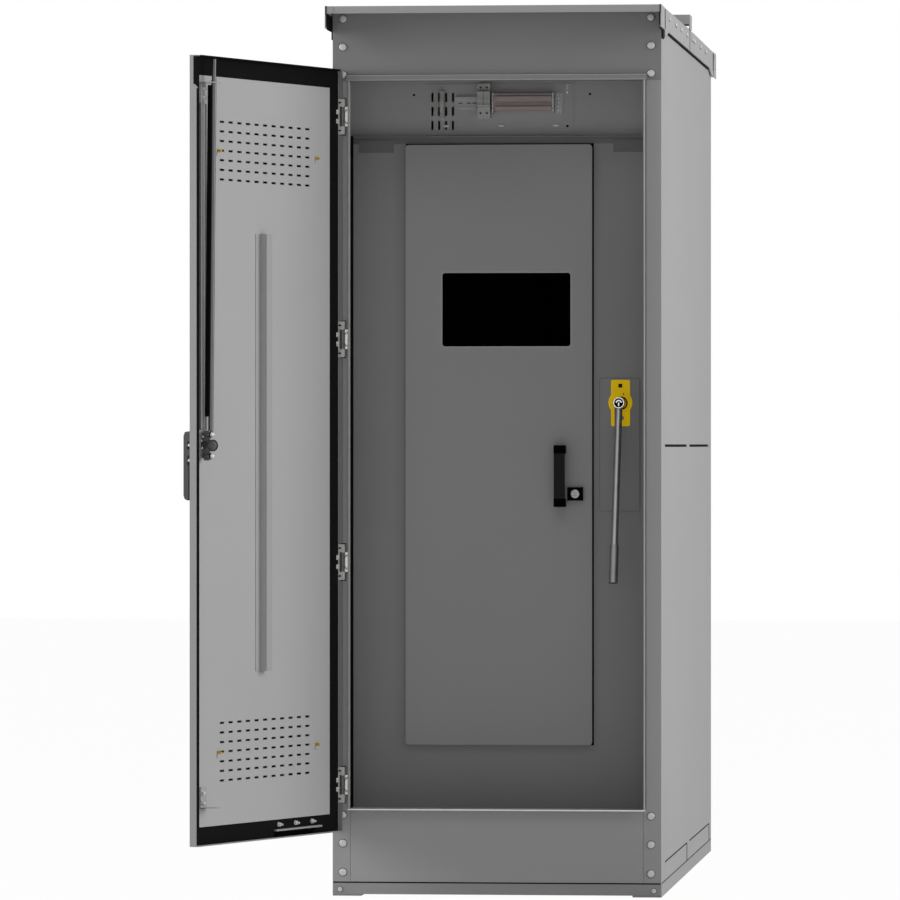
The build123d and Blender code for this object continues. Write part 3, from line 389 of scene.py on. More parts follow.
class Build:
    """A mesh being built; every shape is given in millimetres and in the frame it is placed by."""

    def __init__(self):
        self.bm = bmesh.new()

    def take(self, part, frame):
        """Moves another mesh into its frame and adds it to this one."""
        bmesh.ops.recalc_face_normals(part, faces=part.faces)
        part.transform(frame)
        mesh = bpy.data.meshes.new("part")
        part.to_mesh(mesh)
        part.free()
        self.bm.from_mesh(mesh)
        bpy.data.meshes.remove(mesh)

    def lathe(self, profile, frame, steps=24, hollow=False):
        """Revolves (radius, height) pairs round the frame's Z; hollow joins the last pair to the first."""
        part = bmesh.new()
        rings = []
        for radius, height in profile:
            if radius < 1e-6:
                rings.append([part.verts.new((0, 0, height))])
                continue
            rings.append([part.verts.new((x, y, height)) for x, y in ring_points(radius, steps)])
        for low, high in zip(rings, rings[1:] + (rings[:1] if hollow else [])):
            for i in range(steps):
                j = i + 1
                face = [low[i % len(low)], low[j % len(low)], high[j % len(high)], high[i % len(high)]]
                face = list(dict.fromkeys(face))
                if len(face) > 2:
                    part.faces.new(face)
        for ring in () if hollow else (rings[0], rings[-1]):
            if len(ring) > 2:
                part.faces.new(ring)
        self.take(part, frame)

    def prism(self, outline, low, high, frame, soft=0.0, segments=2):
        """Carries an outline of (x, y) points from one height to another; soft rounds its edges."""
        part = bmesh.new()
        base = [part.verts.new((x, y, low)) for x, y in outline]
        top = [part.verts.new((x, y, high)) for x, y in outline]
        part.faces.new(base)
        part.faces.new(top)
        for i in range(len(outline)):
            j = (i + 1) % len(outline)
            part.faces.new((base[i], base[j], top[j], top[i]))
        if soft:
            bmesh.ops.bevel(part, geom=part.edges[:], offset=soft, segments=segments, affect="EDGES", profile=0.5)
        self.take(part, frame)

    def block(self, low, high, frame, soft=0.0, segments=2):
        (x0, y0, z0), (x1, y1, z1) = low, high
        self.prism([(x0, y0), (x1, y0), (x1, y1), (x0, y1)], z0, z1, frame, soft, segments)

    def tube(self, points, radius, frame, steps=12, taper=1.0):
        """Round rod along points, with closed ends; taper is the last radius over the first."""
        part = bmesh.new()
        line = [Vector(p) for p in points]
        rings = []
        for i, point in enumerate(line):
            ahead = (line[min(i + 1, len(line) - 1)] - line[max(i - 1, 0)]).normalized()
            turn = ahead.to_track_quat("Z", "Y").to_matrix()
            r = radius * (1 + (taper - 1) * i / (len(line) - 1))
            rings.append([part.verts.new(point + turn @ Vector((x, y, 0))) for x, y in ring_points(r, steps)])
        for low, high in zip(rings, rings[1:]):
            for k in range(steps):
                part.faces.new((low[k], low[(k + 1) % steps], high[(k + 1) % steps], high[k]))
        part.faces.new(rings[0])
        part.faces.new(rings[-1])
        self.take(part, frame)

    def piece(self, name, body, slot, finish=None):
        """Makes the mesh a piece that rides on a body, with its slot's finish or a special one."""
        mesh = bpy.data.meshes.new(name)
        self.bm.to_mesh(mesh)
        self.bm.free()
        piece = bpy.data.objects.new(name, mesh)
        bpy.context.scene.collection.objects.link(piece)
        mesh.materials.append(SPECIAL[finish] if finish else FINISHES[slot])
        for polygon in mesh.polygons:
            polygon.use_smooth = True
        mesh.set_sharp_from_angle(angle=math.radians(SHARP_FROM))
        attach(piece, body)


def ring_points(radius, steps, start=0.0, sweep=360.0, centre=(0.0, 0.0)):
    """Points of an arc, or of a whole circle when it sweeps 360 degrees."""
    count = steps if sweep >= 360 else steps + 1
    angles = [math.radians(start + sweep * i / steps) for i in range(count)]
    return [(centre[0] + radius * math.cos(a), centre[1] + radius * math.sin(a)) for a in angles]


def dome_head(radius, height, flat=0.55):
    """Profile of a domed bolt head with a flattened top and a short straight edge."""
    points = [(radius, -0.3), (radius, 0.16 * height)]
    for i in range(1, 6):
        a = math.radians(90 * i / 6)
        points.append((radius * (flat + (1 - flat) * math.cos(a)), height * (0.16 + 0.84 * math.sin(a))))
    return points + [(radius * 0.3, height), (0.0, height * 1.01)]


def hex_nut(build, across, height, frame):
    """Hexagon nut or bolt head with softened corners."""
    radius = across / math.sqrt(3)
    build.prism(ring_points(radius, 6), 0.0, height, frame, soft=0.06 * across)


# Cubicle

DEPTH = 2286.0
HALF = 457.2
BOLT_X = 428.6
BOLT_ROWS = (2435, 2357, 2280, 225, 146, 65.5)
BASE_BOLT = (436.6, 18.0)
# Doorway: half its width, its sill and head, and the reach, thickness and depth at the head of its lips.
OPEN_X = 408.3
SILL_TOP, HEAD_LOW = 243.0, 2262.0
LIP_OUT, LIP_T, LIP_HEAD = 17.0, 5.0, 16.5
HEAD_REACH = OPEN_X + LIP_T + 3
# Joints of the roof's corner folds: middle and half width, then from and to in depth and in height.
ROOF_FOLDS = ((460.6, 1.3, -121.0, -119.6, 2406.0, 2442.0), (462.2, 1.4, -123.2, -120.0, 2440.0, 2464.0))
# Base joint, and where the two covers along each side begin and end.
BASE_TOP, SKIRT_TOP = 38.1, 91.1
SKIRTS = ((150.0, 1120.0), (1231.0, 2184.0))


def carriage_bolts():
    """Flat domed carriage bolts at the front corners, repeated at the rear, each on a thin dark ring that is
    painted shadow round the head.
    """
    heads, washers = Build(), Build()
    for y, out in ((0.0, -1), (DEPTH, 1)):
        for sign in (-1, 1):
            for z in BOLT_ROWS:
                place = facing(CUBICLE, (sign * BOLT_X, y, z), (0, out, 0))
                heads.lathe(dome_head(10.6, 4.2), place)
                # Thin dark ring under each head: painted shadow.
                washers.lathe([(11.8, -0.2), (11.8, 0.5), (9.0, 0.6)], place)
            place = facing(CUBICLE, (sign * BASE_BOLT[0], y, BASE_BOLT[1]), (0, out, 0))
            heads.lathe([(6.8, -0.2), (6.8, 2.0), (6.2, 3.0), (3.4, 3.6), (3.2, 2.2), (0.0, 2.2)], place)
            washers.lathe([(7.8, -0.2), (7.8, 0.5), (6.0, 0.6)], place)
    heads.piece("carriage_bolts", "cabinet", "zinc", "dull_head")
    washers.piece("bolt_shadow_rings", "cabinet", "seal_rubber")


def lip_noses():
    """Rounded noses along the front edges of the raised lips round the opening."""
    noses = Build()
    r = LIP_T / 2
    for sign in (-1, 1):
        centre = (sign * (OPEN_X + r), -LIP_OUT)
        noses.prism(ring_points(r, 12, 180, 180, centre), SILL_TOP - r, HEAD_LOW - 0.8, CUBICLE)
    along = CUBICLE @ Matrix.Rotation(math.radians(90), 4, "Y")
    sill = Build()
    half = OPEN_X + LIP_T
    sill.prism(ring_points(r + 0.2, 12, 180, 180, (-(SILL_TOP - r), -LIP_OUT)), -half, half, along)
    # The sill's painted nose takes a bright metal finish for the highlight along the lip: painted highlight.
    sill.piece("sill_nose", "cabinet", "body_paint", "zinc_and_painted_highlight")
    small = 1.6
    for z in (HEAD_LOW + small, HEAD_LOW + LIP_HEAD - small):
        noses.prism(ring_points(small, 10, 180, 180, (-z, -LIP_OUT)), -HEAD_REACH, HEAD_REACH, along)
    noses.piece("lip_noses", "cabinet", "body_paint")


def joint_shadow_lines():
    """Thin dark lines along the doorway's lips, the roof's folds, the skirt covers and the base, at their joints:
    painted shade for the shadows that the joints' steps cast.
    """
    lines = Build()
    top = HEAD_LOW + LIP_HEAD
    lines.block((-HEAD_REACH, -0.7, top), (HEAD_REACH, 0.2, top + 1.6), CUBICLE)
    for sign in (-1, 1):
        for x, half, y0, y1, z0, z1 in ROOF_FOLDS:
            lines.block((sign * x - half, y0, z0), (sign * x + half, y1, z1), CUBICLE)
        x = sign * (OPEN_X + LIP_T + 1.0)
        lines.block((x - 0.9, -0.5, SILL_TOP), (x + 0.9, 0.2, HEAD_LOW - 1.0), CUBICLE)
        x0, x1 = sorted((sign * (HALF - 2.0), sign * (HALF + 0.5)))
        for y0, y1 in SKIRTS:
            lines.block((x0, y0 + 4, SKIRT_TOP - 3.0), (x1, y1 - 6, SKIRT_TOP + 0.6), CUBICLE)
            lines.block((x0, y1 - 18, BASE_TOP + 2), (x1, y1 + 2, SKIRT_TOP - 2.0), CUBICLE)
        lines.block((x0, 20.0, BASE_TOP - 1.5), (x1, DEPTH - 20.0, BASE_TOP + 1.0), CUBICLE)
    for y0, y1 in ((-0.6, 0.4), (DEPTH - 0.4, DEPTH + 0.6)):
        lines.block((-HALF + 2, y0, BASE_TOP - 2.0), (HALF - 2, y1, BASE_TOP + 1.4), CUBICLE)
    lines.piece("joint_shadow_lines", "cabinet", "seal_rubber")


# Side flanges of the roof: their face, and the height and middles of their pressed tabs.
ROOF_X = 463.7
TAB_Z = 2445.0
TABS = (246, 526, 755, 1018, 1273, 1367, 1645, 1906)
# Side laps of the roof sheets: from and to, back from the front, and from and to in height.
ROOF_SEAMS = ((52.0, 72.0, 2406.0, 2462.0), (1146.0, 1166.0, 2406.5, 2470.0), (2272.0, 2292.0, 2406.5, 2458.0))


def roof_details():
    """Pressed tabs along the roof's side flanges in a pale finish that is a painted highlight. Dark strips under
    them and in the roof's laps are painted shadow, and black strips inside the front overhang are painted shade.
    """
    tabs, shade, lap_and_overhang_shade = Build(), Build(), Build()
    for sign in (-1, 1):
        side = CUBICLE @ Matrix.Translation((sign * ROOF_X, 0.0, 0.0))
        side = side @ Matrix.Rotation(math.radians(90) * sign, 4, "Y")
        # local z runs outward, x down on the right and up on the left
        for y in TABS:
            # Pale tabs: painted highlight.
            tabs.block((-TAB_Z * sign - 4.5, y - 30.0, -0.4), (-TAB_Z * sign + 4.5, y + 30.0, 2.6), side, 1.2, 3)
            low = -(TAB_Z - 6.4) * sign
            # Dark strip under each tab: painted shadow.
            shade.block((low - 2.0, y - 27.0, -0.2), (low + 2.0, y + 27.0, 0.4), side)
        # Dark strips in the side laps: painted shadow of the laps' steps.
        for y0, y1, z0, z1 in ROOF_SEAMS:
            x0, x1 = sorted((-z0 * sign, -z1 * sign))
            lap_and_overhang_shade.block((x0, y0, -0.2), (x1, y1, 0.7), side, 0.3)
        # Black strips on the flanges' inner faces in the front overhang: painted shade.
        x0, x1 = sorted((sign * (ROOF_X - 3.0), sign * (ROOF_X - 4.2)))
        lap_and_overhang_shade.block((x0, -116.0, 2398.0), (x1, -1.0, 2442.0), CUBICLE)
    tabs.piece("roof_tabs_painted_highlight", "cabinet", "body_paint", "dull_head")
    shade.piece("roof_tab_shadows", "cabinet", "black_plastic", "terminal")
    lap_and_overhang_shade.piece("roof_lap_and_overhang_shade", "cabinet", "seal_rubber")


# Upper compartment

# Faces of the devices' plate and of the dead front, behind the cubicle's front.
DEVICE_Y = 284.0
DEAD_FACE = 254.0
DEAD_X = 427.5
LEDGE_Z = 2120.0
RAIL_Z = LEDGE_Z + 93.0
HEAT_Z = LEDGE_Z + 93.0
HEAT_X0, HEAT_X1 = -32.0, 134.0
RELAY_X = -178.25
BREAKER_X0, BREAKER_X1 = -75.7, -40.3
# Equipment plate: its sides, and the holes and the bolt in it and beside it.
PLATE_X0, PLATE_X1 = -217.0, 192.0
PLATE_HOLES = ((-259.4, 2237.0), (174.0, 2147.8), (237.4, 2237.4))
PLATE_BOLT = (173.2, 2243.3)


def terminal_screw(build, x, y, z):
    """Recessed screw head that faces the front."""
    place = facing(CUBICLE, (x, y, z), (0, -1, 0))
    build.lathe([(3.4, -0.2), (3.4, 0.8), (3.0, 1.2), (2.2, 1.2), (2.0, 0.3), (0.0, 0.3)], place, 16)


def breaker_details():
    """Terminal pockets with their screws, the pole gap and the toggle surround of the breaker."""
    pockets, screws, lines = Build(), Build(), Build()
    x0, x1 = BREAKER_X0, BREAKER_X1
    z = RAIL_Z + 4
    front = DEVICE_Y - 44.0
    for x in (x0 + 8.8, x1 - 8.8):
        for up in (38.0, -34.5):
            pockets.block((x - 5.2, front - 0.6, z + up - 5.0), (x + 5.2, front + 0.2, z + up + 5.0), CUBICLE, 0.25)
            terminal_screw(screws, x, front - 0.6, z + up)
        for up in (47.0, -47.5):
            pockets.block((x - 6.0, front - 0.5, z + up - 2.2), (x + 6.0, front + 0.2, z + up + 1.6), CUBICLE, 0.2)
    face = DEVICE_Y - 58.0
    lines.block(((x0 + x1) / 2 - 0.5, face - 0.4, z - 13.5), ((x0 + x1) / 2 + 0.5, face + 0.1, z + 26.5), CUBICLE)
    for up in (-6.5, -10.0):
        lines.block((x0 + 0.5, face - 0.5, z + up - 0.5), (x1 - 0.5, face + 0.1, z + up + 0.5), CUBICLE)
    for up in (27.0, -17.0):
        lines.block((x0 + 0.4, front - 14.4 if up > 0 else front - 7.0, z + up - 0.8),
                    (x1 - 0.4, front + 0.2, z + up + 0.4), CUBICLE)
    pockets.piece("breaker_pockets", "cabinet", "device_plastic", "pale_terminal")
    screws.piece("breaker_screws", "cabinet", "black_plastic", "terminal")
    lines.piece("breaker_lines", "cabinet", "black_plastic", "terminal")


def relay_details():
    """Terminal ribs, knobs and setting slide of the timing relay."""
    ribs, dial = Build(), Build()
    x = RELAY_X
    face = DEVICE_Y - 22.0
    for i in range(5):
        for low in (LEDGE_Z + 54.0, LEDGE_Z + 108.0):
            z = low + i * 3.2
            ribs.block((x - 5.2, face - 1.6, z), (x + 5.2, face + 0.2, z + 1.5), CUBICLE, 0.3)
    for z, r in ((LEDGE_Z + 112, 6.0), (LEDGE_Z + 56, 7.0)):
        place = facing(CUBICLE, (x, face - 1.4, z), (0, -1, 0))
        profile = [(r * 0.8, -0.4), (r * 0.8, 2.6), (r * 0.62, 3.2), (r * 0.5, 1.4), (0.0, 1.4)]
        dial.lathe(profile, place, 20)
    dial.block((x - 3.2, face - 9.6, LEDGE_Z + 70), (x + 3.2, face - 7.8, LEDGE_Z + 100), CUBICLE, 0.5)
    ribs.piece("relay_ribs", "cabinet", "device_plastic", "pale_terminal")
    dial.piece("relay_dial", "cabinet", "device_plastic", "beige")


def rail_details():
    """Long holes of the top-hat rail."""
    holes = Build()
    for x in (-128.0, -104.0, -88.0):
        holes.block((x - 6.0, DEVICE_Y - 1.25, RAIL_Z - 1.6), (x + 6.0, DEVICE_Y - 0.9, RAIL_Z + 1.6), CUBICLE)
    holes.piece("rail_holes", "cabinet", "black_plastic", "terminal")


def heater_details():
    """Fins between the heater's elements, its edge strips, and the lugs along its end brackets."""
    fins, lugs = Build(), Build()
    x0, x1 = HEAT_X0, HEAT_X1
    count = 40
    for i in range(count):
        x = x0 + 8 + (x1 - x0 - 16) * i / (count - 1)
        fins.block((x - 0.7, DEVICE_Y - 29.0, HEAT_Z - 7.5), (x + 0.7, DEVICE_Y - 26.0, HEAT_Z + 2.5), CUBICLE)
    fins.block((x0 + 5, DEVICE_Y - 27.4, HEAT_Z + 22.2), (x1 - 3, DEVICE_Y - 26.0, HEAT_Z + 24.2), CUBICLE, 0.3)
    fins.block((x0 + 5, DEVICE_Y - 27.4, HEAT_Z - 24.4), (x1 - 3, DEVICE_Y - 26.0, HEAT_Z - 22.6), CUBICLE, 0.3)
    for i in range(5):
        z = HEAT_Z - 22 + i * 11
        for x, y in ((x0 - 2.0, DEVICE_Y - 34.0), (x1 + 2.0, DEVICE_Y - 34.0), (x1 + 15.0, DEVICE_Y - 3.0)):
            place = facing(CUBICLE, (x, y, z), (0, -1, 0))
            lugs.lathe([(2.6, -0.4), (2.6, 1.6), (1.9, 2.6), (0.9, 2.6), (0.7, 1.2), (0.0, 1.2)], place, 14)
    fins.piece("heater_fins", "cabinet", "heater_metal", "end_caps")
    lugs.piece("heater_lugs", "cabinet", "zinc")


def compartment_details():
    """Bolt, holes and hanging tabs of the equipment plate."""
    holes, bolt, tab = Build(), Build(), Build()
    for x, z in PLATE_HOLES:
        y = DEVICE_Y if PLATE_X0 < x < PLATE_X1 else DEVICE_Y + 2.0
        place = facing(CUBICLE, (x, y, z), (0, -1, 0))
        holes.lathe([(3.6, -0.2), (3.6, 0.25), (0.0, 0.3)], place, 16)
    place = facing(CUBICLE, (PLATE_BOLT[0], DEVICE_Y, PLATE_BOLT[1]), (0, -1, 0))
    bolt.lathe([(4.6, -0.2), (4.6, 1.4), (3.0, 2.4), (2.6, 1.0), (0.0, 1.0)], place, 18)
    for x in (171.4, 175.0):
        bolt.block((x - 0.6, DEVICE_Y - 1.0, 2247.0), (x + 0.6, DEVICE_Y + 0.2, 2266.0), CUBICLE)
    tab.block((-176.0, DEVICE_Y - 3.2, 2145.6), (-160.5, DEVICE_Y, 2152.0), CUBICLE, 0.5)
    for x in (-13.0, 142.0):
        low, high = LEDGE_Z + 26.5, LEDGE_Z + 32.5
        tab.block((x - 7.6, DEVICE_Y - 4.2, low), (x + 7.6, DEVICE_Y - 2.8, high), CUBICLE, 0.4)
    holes.piece("plate_holes", "cabinet", "black_plastic", "deep_black")
    bolt.piece("plate_bolt", "cabinet", "zinc")
    tab.piece("hanging_tabs", "cabinet", "zinc", "dull_head")


def dead_front_details():
    """Rounded bead along the ledge in a bright finish that is a painted highlight, a dark strip under it that is
    painted shadow, and black strips along the inner door's top and right edges that are painted shadow.
    """
    bead, strip, seal = Build(), Build(), Build()
    along = CUBICLE @ Matrix.Rotation(math.radians(90), 4, "Y")
    bead.prism(ring_points(1.8, 10, 90, 180, (-(LEDGE_Z - 1.8), DEAD_FACE)), -DEAD_X, DEAD_X, along)
    bead.piece("ledge_bead", "cabinet", "inner_paint", "painted_highlight_edge")
    back = DEAD_FACE + 0.2
    # Dark strip under the ledge: painted shadow.
    strip.block((-DEAD_X, DEAD_FACE - 0.5, LEDGE_Z - 23.0), (DEAD_X, back, LEDGE_Z - 3.6), CUBICLE, 0.2)
    strip.piece("ledge_strip", "cabinet", "inner_paint", "shade_strip")
    face = DEAD_FACE - 0.7
    # Black strips along the inner door's right and top edges: painted shadow gap.
    seal.block((IN_X1 - 3.0, face, IN_Z0), (IN_X1 + 4.0, back, IN_Z1 + 3.6), CUBICLE, 0.2)
    seal.block((IN_X0, face, IN_Z1 - 3.0), (IN_X1 + 4.0, back, IN_Z1 + 3.6), CUBICLE, 0.2)
    seal.piece("inner_door_shadow_gap", "cabinet", "black_plastic", "deep_black")


# Outer door, in its own frame: x from the hinge corner to the free edge, y to its inner side, z up

DOOR_W = 855.3
DOOR_Z0, DOOR_Z1 = 178.6, 2293.3
LINER_FACE = -12.0
DIAGONAL = (1, 1, 0)
DOOR_HINGE_AT = (DOOR_HINGE[0], DOOR_HINGE[1] - FRONT)
HINGE_END = 130.0
HINGE_Z = [DOOR_Z0 + HINGE_END + i * (DOOR_Z1 - DOOR_Z0 - 2 * HINGE_END) / 3 for i in range(4)]
# Bolt through the bevel of the hinge edge, and how far from a hinge's middle its bolts and screws stand.
BEVEL_BOLT = (7.6, -15.4)
BOLT_RISE, SCREW_RISE = 12.8, 18.0
CLIPS = [(s, z) for z in (2042.4, 425.5) for s in (137.0, 716.0)]
GUIDE_NUTS = ((806.0, 2206.5), (806.0, 2181.0), (811.0, 320.0), (811.0, 294.0))
STAY_NUTS, STAY_Z = (364.0, 265.0, 166.0), 215.5
LATCH_S, LATCH_Z = 796.0, 1250.4
ARM_S = 812.0
LUG_S, LUG_RISE, LUG_OUT = 815.0, 29.0, 20.0
# Small screws of the latch bracket: height over the latch, place across the door, radius.
BRACKET_SCREWS = ((25.0, -6.0, 5.0), (-7.0, -8.0, 3.4), (12.0, -9.0, 3.0))
# The rod's lean in the photograph, the height it leans from, and where its slim tip starts and bends.
ROD_LEAN = math.tan(math.radians(0.58))
ROD_H, ROD_FOOT = 17.3, 2222.9
ROD_BEND = 2256.0


def edge_trim():
    """Black rubber trim clipped over the door's free edge and top edge."""
    trim = Build()
    reach, wall, skin = 3.3, 3.0, 0.8
    for low, z0, z1 in ((0.0, DOOR_Z0 + 4, 2204.0), (-9.5, 2215.0, DOOR_Z1 - 3)):
        inside, outside = DOOR_W - wall, DOOR_W
        outline = [(inside - skin, low - reach), (inside - skin, low + skin), (outside + skin, low + skin),
                   (outside + skin, low - reach), (outside, low - reach), (outside, low),
                   (inside, low), (inside, low - reach)]
        trim.prism(outline, z0, z1, DOOR)
    trim.block((12.0, -6.0, DOOR_Z1 - wall - skin), (DOOR_W - 14, 0.6, DOOR_Z1 - wall), DOOR)
    trim.block((12.0, 0.0, DOOR_Z1 - wall - skin), (DOOR_W - 14, 0.6, DOOR_Z1 + 0.6), DOOR)
    trim.piece("door_edge_trim", "outer_door", "seal_rubber")


def hinge_details():
    """Bolts through the bevelled hinge edge, screws and packing of the fixed leaves, and the barrels' sleeves."""
    bolts, screws, washers = Build(), Build(), Build()
    nut = [(7.4, 3.0), (7.4, 4.2), (6.6, 6.2), (4.6, 7.6), (3.2, 8.0), (2.8, 6.4), (0.0, 6.4)]
    for z in HINGE_Z:
        for up in (-BOLT_RISE, BOLT_RISE):
            place = facing(DOOR, (*BEVEL_BOLT, z + up), DIAGONAL)
            bolts.lathe([(5.0, 0.0), (5.0, 3.0)], place, 20)
            washers.lathe([(8.2, 1.6), (8.2, 3.0), (7.0, 3.2)], place, 24)
            bolts.lathe(nut, place, 24)
        for up in (-SCREW_RISE, SCREW_RISE):
            place = facing(CUBICLE, (DOOR_HINGE[0] + 10.4, -5.0, z + up), (0, -1, 0))
            screws.lathe([(3.4, -0.2), (3.4, 0.5), (2.2, 0.9), (1.4, 0.2), (0.0, 0.2)], place, 18)
    packing, sleeves, slots = Build(), Build(), Build()
    for z in HINGE_Z:
        for z0, z1 in ((z - 52.0, z - 25.5), (z + 25.5, z + 52.0)):
            packing.block((DOOR_HINGE[0] - 13.5, -0.5, z0), (DOOR_HINGE[0] + 9.0, 0.1, z1), CUBICLE, 0.1)
            middle = (z0 + z1) / 2
            slots.block((5.6, -9.6, middle - 2.2), (6.35, -1.8, middle + 2.2), DOOR, 0.1)
        sleeves.lathe([(5.9, -26.4), (5.9, -9.0), (6.3, -8.4), (6.3, 8.4), (5.9, 9.0), (5.9, 26.4)],
                      CUBICLE @ Matrix.Translation((*DOOR_HINGE_AT, z)), 24)
    slots.piece("hinge_lug_slots", "outer_door", "black_plastic", "deep_black")
    sleeves.piece("hinge_sleeves", "cabinet", "cast_zinc", "dark_cast")
    packing.piece("hinge_packing", "cabinet", "black_plastic", "deep_black")
    bolts.piece("hinge_bolts", "outer_door", "zinc", "dull_head")
    washers.piece("hinge_washers", "outer_door", "seal_rubber")
    screws.piece("hinge_screws", "cabinet", "zinc")


def guide_bolts():
    """Nuts and stud ends that hold the two rod guides to the liner."""
    nuts = Build()
    for s, z in GUIDE_NUTS:
        place = facing(DOOR, (s, LINER_FACE + 3.0, z), (0, 1, 0))
        nuts.lathe([(7.6, 0.0), (7.6, 1.2), (6.6, 1.6)], place, 20)
        nuts.lathe([(6.2, 1.4), (6.2, 5.0), (5.2, 7.0), (3.0, 8.2), (0.0, 8.5)], place, 20)
    nuts.piece("guide_nuts", "outer_door", "zinc", "dull_head")


def stay_nuts():
    """Acorn nuts with stud ends over the stay bar, and a flat black strip on the liner below it."""
    nuts = Build()
    acorn = [(6.8, -0.2), (6.8, 1.2), (6.0, 2.0), (6.0, 5.5), (4.8, 7.8),
             (3.0, 9.0), (2.8, 13.5), (2.0, 14.5), (0.0, 14.5)]
    for s in STAY_NUTS:
        nuts.lathe(acorn, facing(DOOR, (s, LINER_FACE, STAY_Z), (0, 1, 0)), 20)
    nuts.piece("stay_nuts", "outer_door", "zinc", "dull_head")
    pocket = Build()
    pocket.block((150.0, LINER_FACE - 0.3, 182.5), (391.0, LINER_FACE + 0.6, 196.5), DOOR)
    pocket.piece("stay_black_strip", "outer_door", "black_plastic", "deep_black")


def latch_details():
    """Cast arm with its roller boss, two bolted lugs, and small screws on the latch bracket; black outlines behind
    the arm and the lugs' washers are painted shadow.
    """
    arm, lugs, bolts, shade = Build(), Build(), Build(), Build()
    side = DOOR @ Matrix.Translation((ARM_S, 0.0, LATCH_Z)) @ Matrix.Rotation(math.radians(90), 4, "Y")
    # local x runs down, y out of the door's inner side and z towards its free edge
    boss_y, shadow_scale = 21.5, 1.13
    pear = ring_points(14.0, 18, -62, 248, (0.0, boss_y)) + [(-7.5, -7.0), (0.0, -9.5), (7.5, -7.0)]
    pear = sorted(pear, key=lambda p: math.atan2(p[0], p[1] - 6.0))
    arm.prism(pear, 0.0, 5.5, side, 0.8)
    # Black outline a little larger than the arm, behind it: painted shadow.
    shade.prism([(shadow_scale * x, boss_y + shadow_scale * (y - boss_y)) for x, y in pear], -2.0, 0.2, side)
    boss = side @ Matrix.Translation((0.0, boss_y, 0.0))
    arm.lathe([(10.6, 5.4), (10.6, 6.6), (9.4, 7.4), (8.6, 6.6), (0.0, 6.6)], boss, 28)
    arm.lathe([(4.2, 6.4), (4.2, 9.0), (3.2, 9.8), (0.0, 9.8)], boss, 18)
    for z in (LATCH_Z - LUG_RISE, LATCH_Z + LUG_RISE):
        lugs.lathe([(6.0, -6.0), (6.0, 18.0), (5.2, LUG_OUT)], facing(DOOR, (LUG_S, 0.0, z), (0, 1, 0)), 20)
        place = facing(DOOR, (LUG_S, LUG_OUT, z), (0, 1, 0))
        # Black ring behind each lug's washer: painted shadow.
        shade.lathe([(8.2, -3.0), (8.2, -0.4), (7.0, 0.0)], place, 24)
        bolts.lathe([(6.8, 0.0), (6.8, 1.6), (6.0, 1.8)], place, 24)
        hex_nut(bolts, 10.5, 5.5, place @ Matrix.Translation((0.0, 0.0, 1.6)))
        bolts.lathe([(3.5, 7.0), (3.5, 9.4), (2.8, 10.2), (0.0, 10.2)], place, 16)
    for up, h, r in BRACKET_SCREWS:
        bolts.lathe(dome_head(r, 0.7 * r), facing(DOOR, (817.0, h, LATCH_Z + up), (1, 0, 0)), 18)
        lugs.lathe([(r * 0.8, 0.0), (r * 0.8, 9.0)], facing(DOOR, (808.5, h, LATCH_Z + up), (1, 0, 0)), 16)
    shade.piece("latch_painted_shadows", "outer_door", "black_plastic", "deep_black")
    arm.piece("latch_arm", "outer_door", "cast_zinc", "dark_cast")
    # The lugs' dark cast is partly their own colour and partly painted shade round them.
    lugs.piece("latch_lugs", "outer_door", "cast_zinc", "dark_cast")
    bolts.piece("latch_bolts", "outer_door", "zinc", "bright_bar")


def outside_handle_details():
    """Black patches on the side of the outside handle, the painted shade of its recesses, with screw heads on them.
    """
    recess_shades, screws = Build(), Build()
    side = LATCH_S + 13.8
    for up0, up1 in ((-10.0, 11.0), (-53.0, -27.0)):
        recess_shades.block((side - 1.0, -56.0, LATCH_Z + up0), (side, -44.0, LATCH_Z + up1), DOOR, 0.3)
        place = facing(DOOR, (side - 0.2, -50.0, LATCH_Z + (up0 + up1) / 2), (1, 0, 0))
        screws.lathe(dome_head(4.0, 2.6), place, 18)
    recess_shades.piece("handle_recess_shades", "latch_lever", "black_plastic")
    screws.piece("handle_insert_screws", "latch_lever", "zinc", "dull_head")


def rod_tip():
    """Slim upper end of the latch rod, above the solid, which ends lower so that it swings clear of the header."""
    tip = Build()
    points = []
    for z in (2255.5, 2262.0, 2269.0, 2276.0, 2284.0):
        points.append((LATCH_S, ROD_H + ROD_LEAN * (z - ROD_FOOT) + 0.03 * max(0.0, z - ROD_BEND), z))
    tip.tube(points, 5.8, DOOR, 20, 0.94)
    tip.piece("rod_tip", "latch_rod", "zinc", "dark_rod")


def clip_details():
    """Wire tails and screws of the four brass clips."""
    tails, screws = Build(), Build()
    for s, z in CLIPS:
        wire = [(s + 6, LINER_FACE + 2.0, z - 2), (s + 7.0, LINER_FACE + 2.5, z - 8),
                (s + 7.5, LINER_FACE + 2.0, z - 15)]
        tails.tube(wire, 1.2, DOOR, 10)
        place = facing(DOOR, (s, LINER_FACE + 9.0, z), (0, 1, 0))
        screws.lathe([(3.2, 0.0), (3.2, 1.2), (2.4, 1.8), (0.0, 1.8)], place, 16)
    tails.piece("clip_tails", "outer_door", "zinc")
    screws.piece("clip_screws", "outer_door", "brass")


# Inner door and handle

IN_FACE = 240.0
IN_X0, IN_X1 = -278.5, 246.6
IN_Z0, IN_Z1 = 410.1, 2094.4
# Window: its left, right, low and high edges.
WINDOW = (IN_X0 + 103.7, IN_X1 - 60.2, IN_Z1 - 359.7 - 206.5, IN_Z1 - 359.7)
WINDOW_ROUND = 8.0
LOCK_X, LOCK_Z = 199.8, 1114.7
PULL_X, PULL_Z0, PULL_Z1 = 157.4, 1079.2, 1250.3
HUB_X, HUB_Z, HUB_FACE = 326.4, 1369.5, 174.0
COVER_FACE, PLATE_FACE = 252.0, 250.0


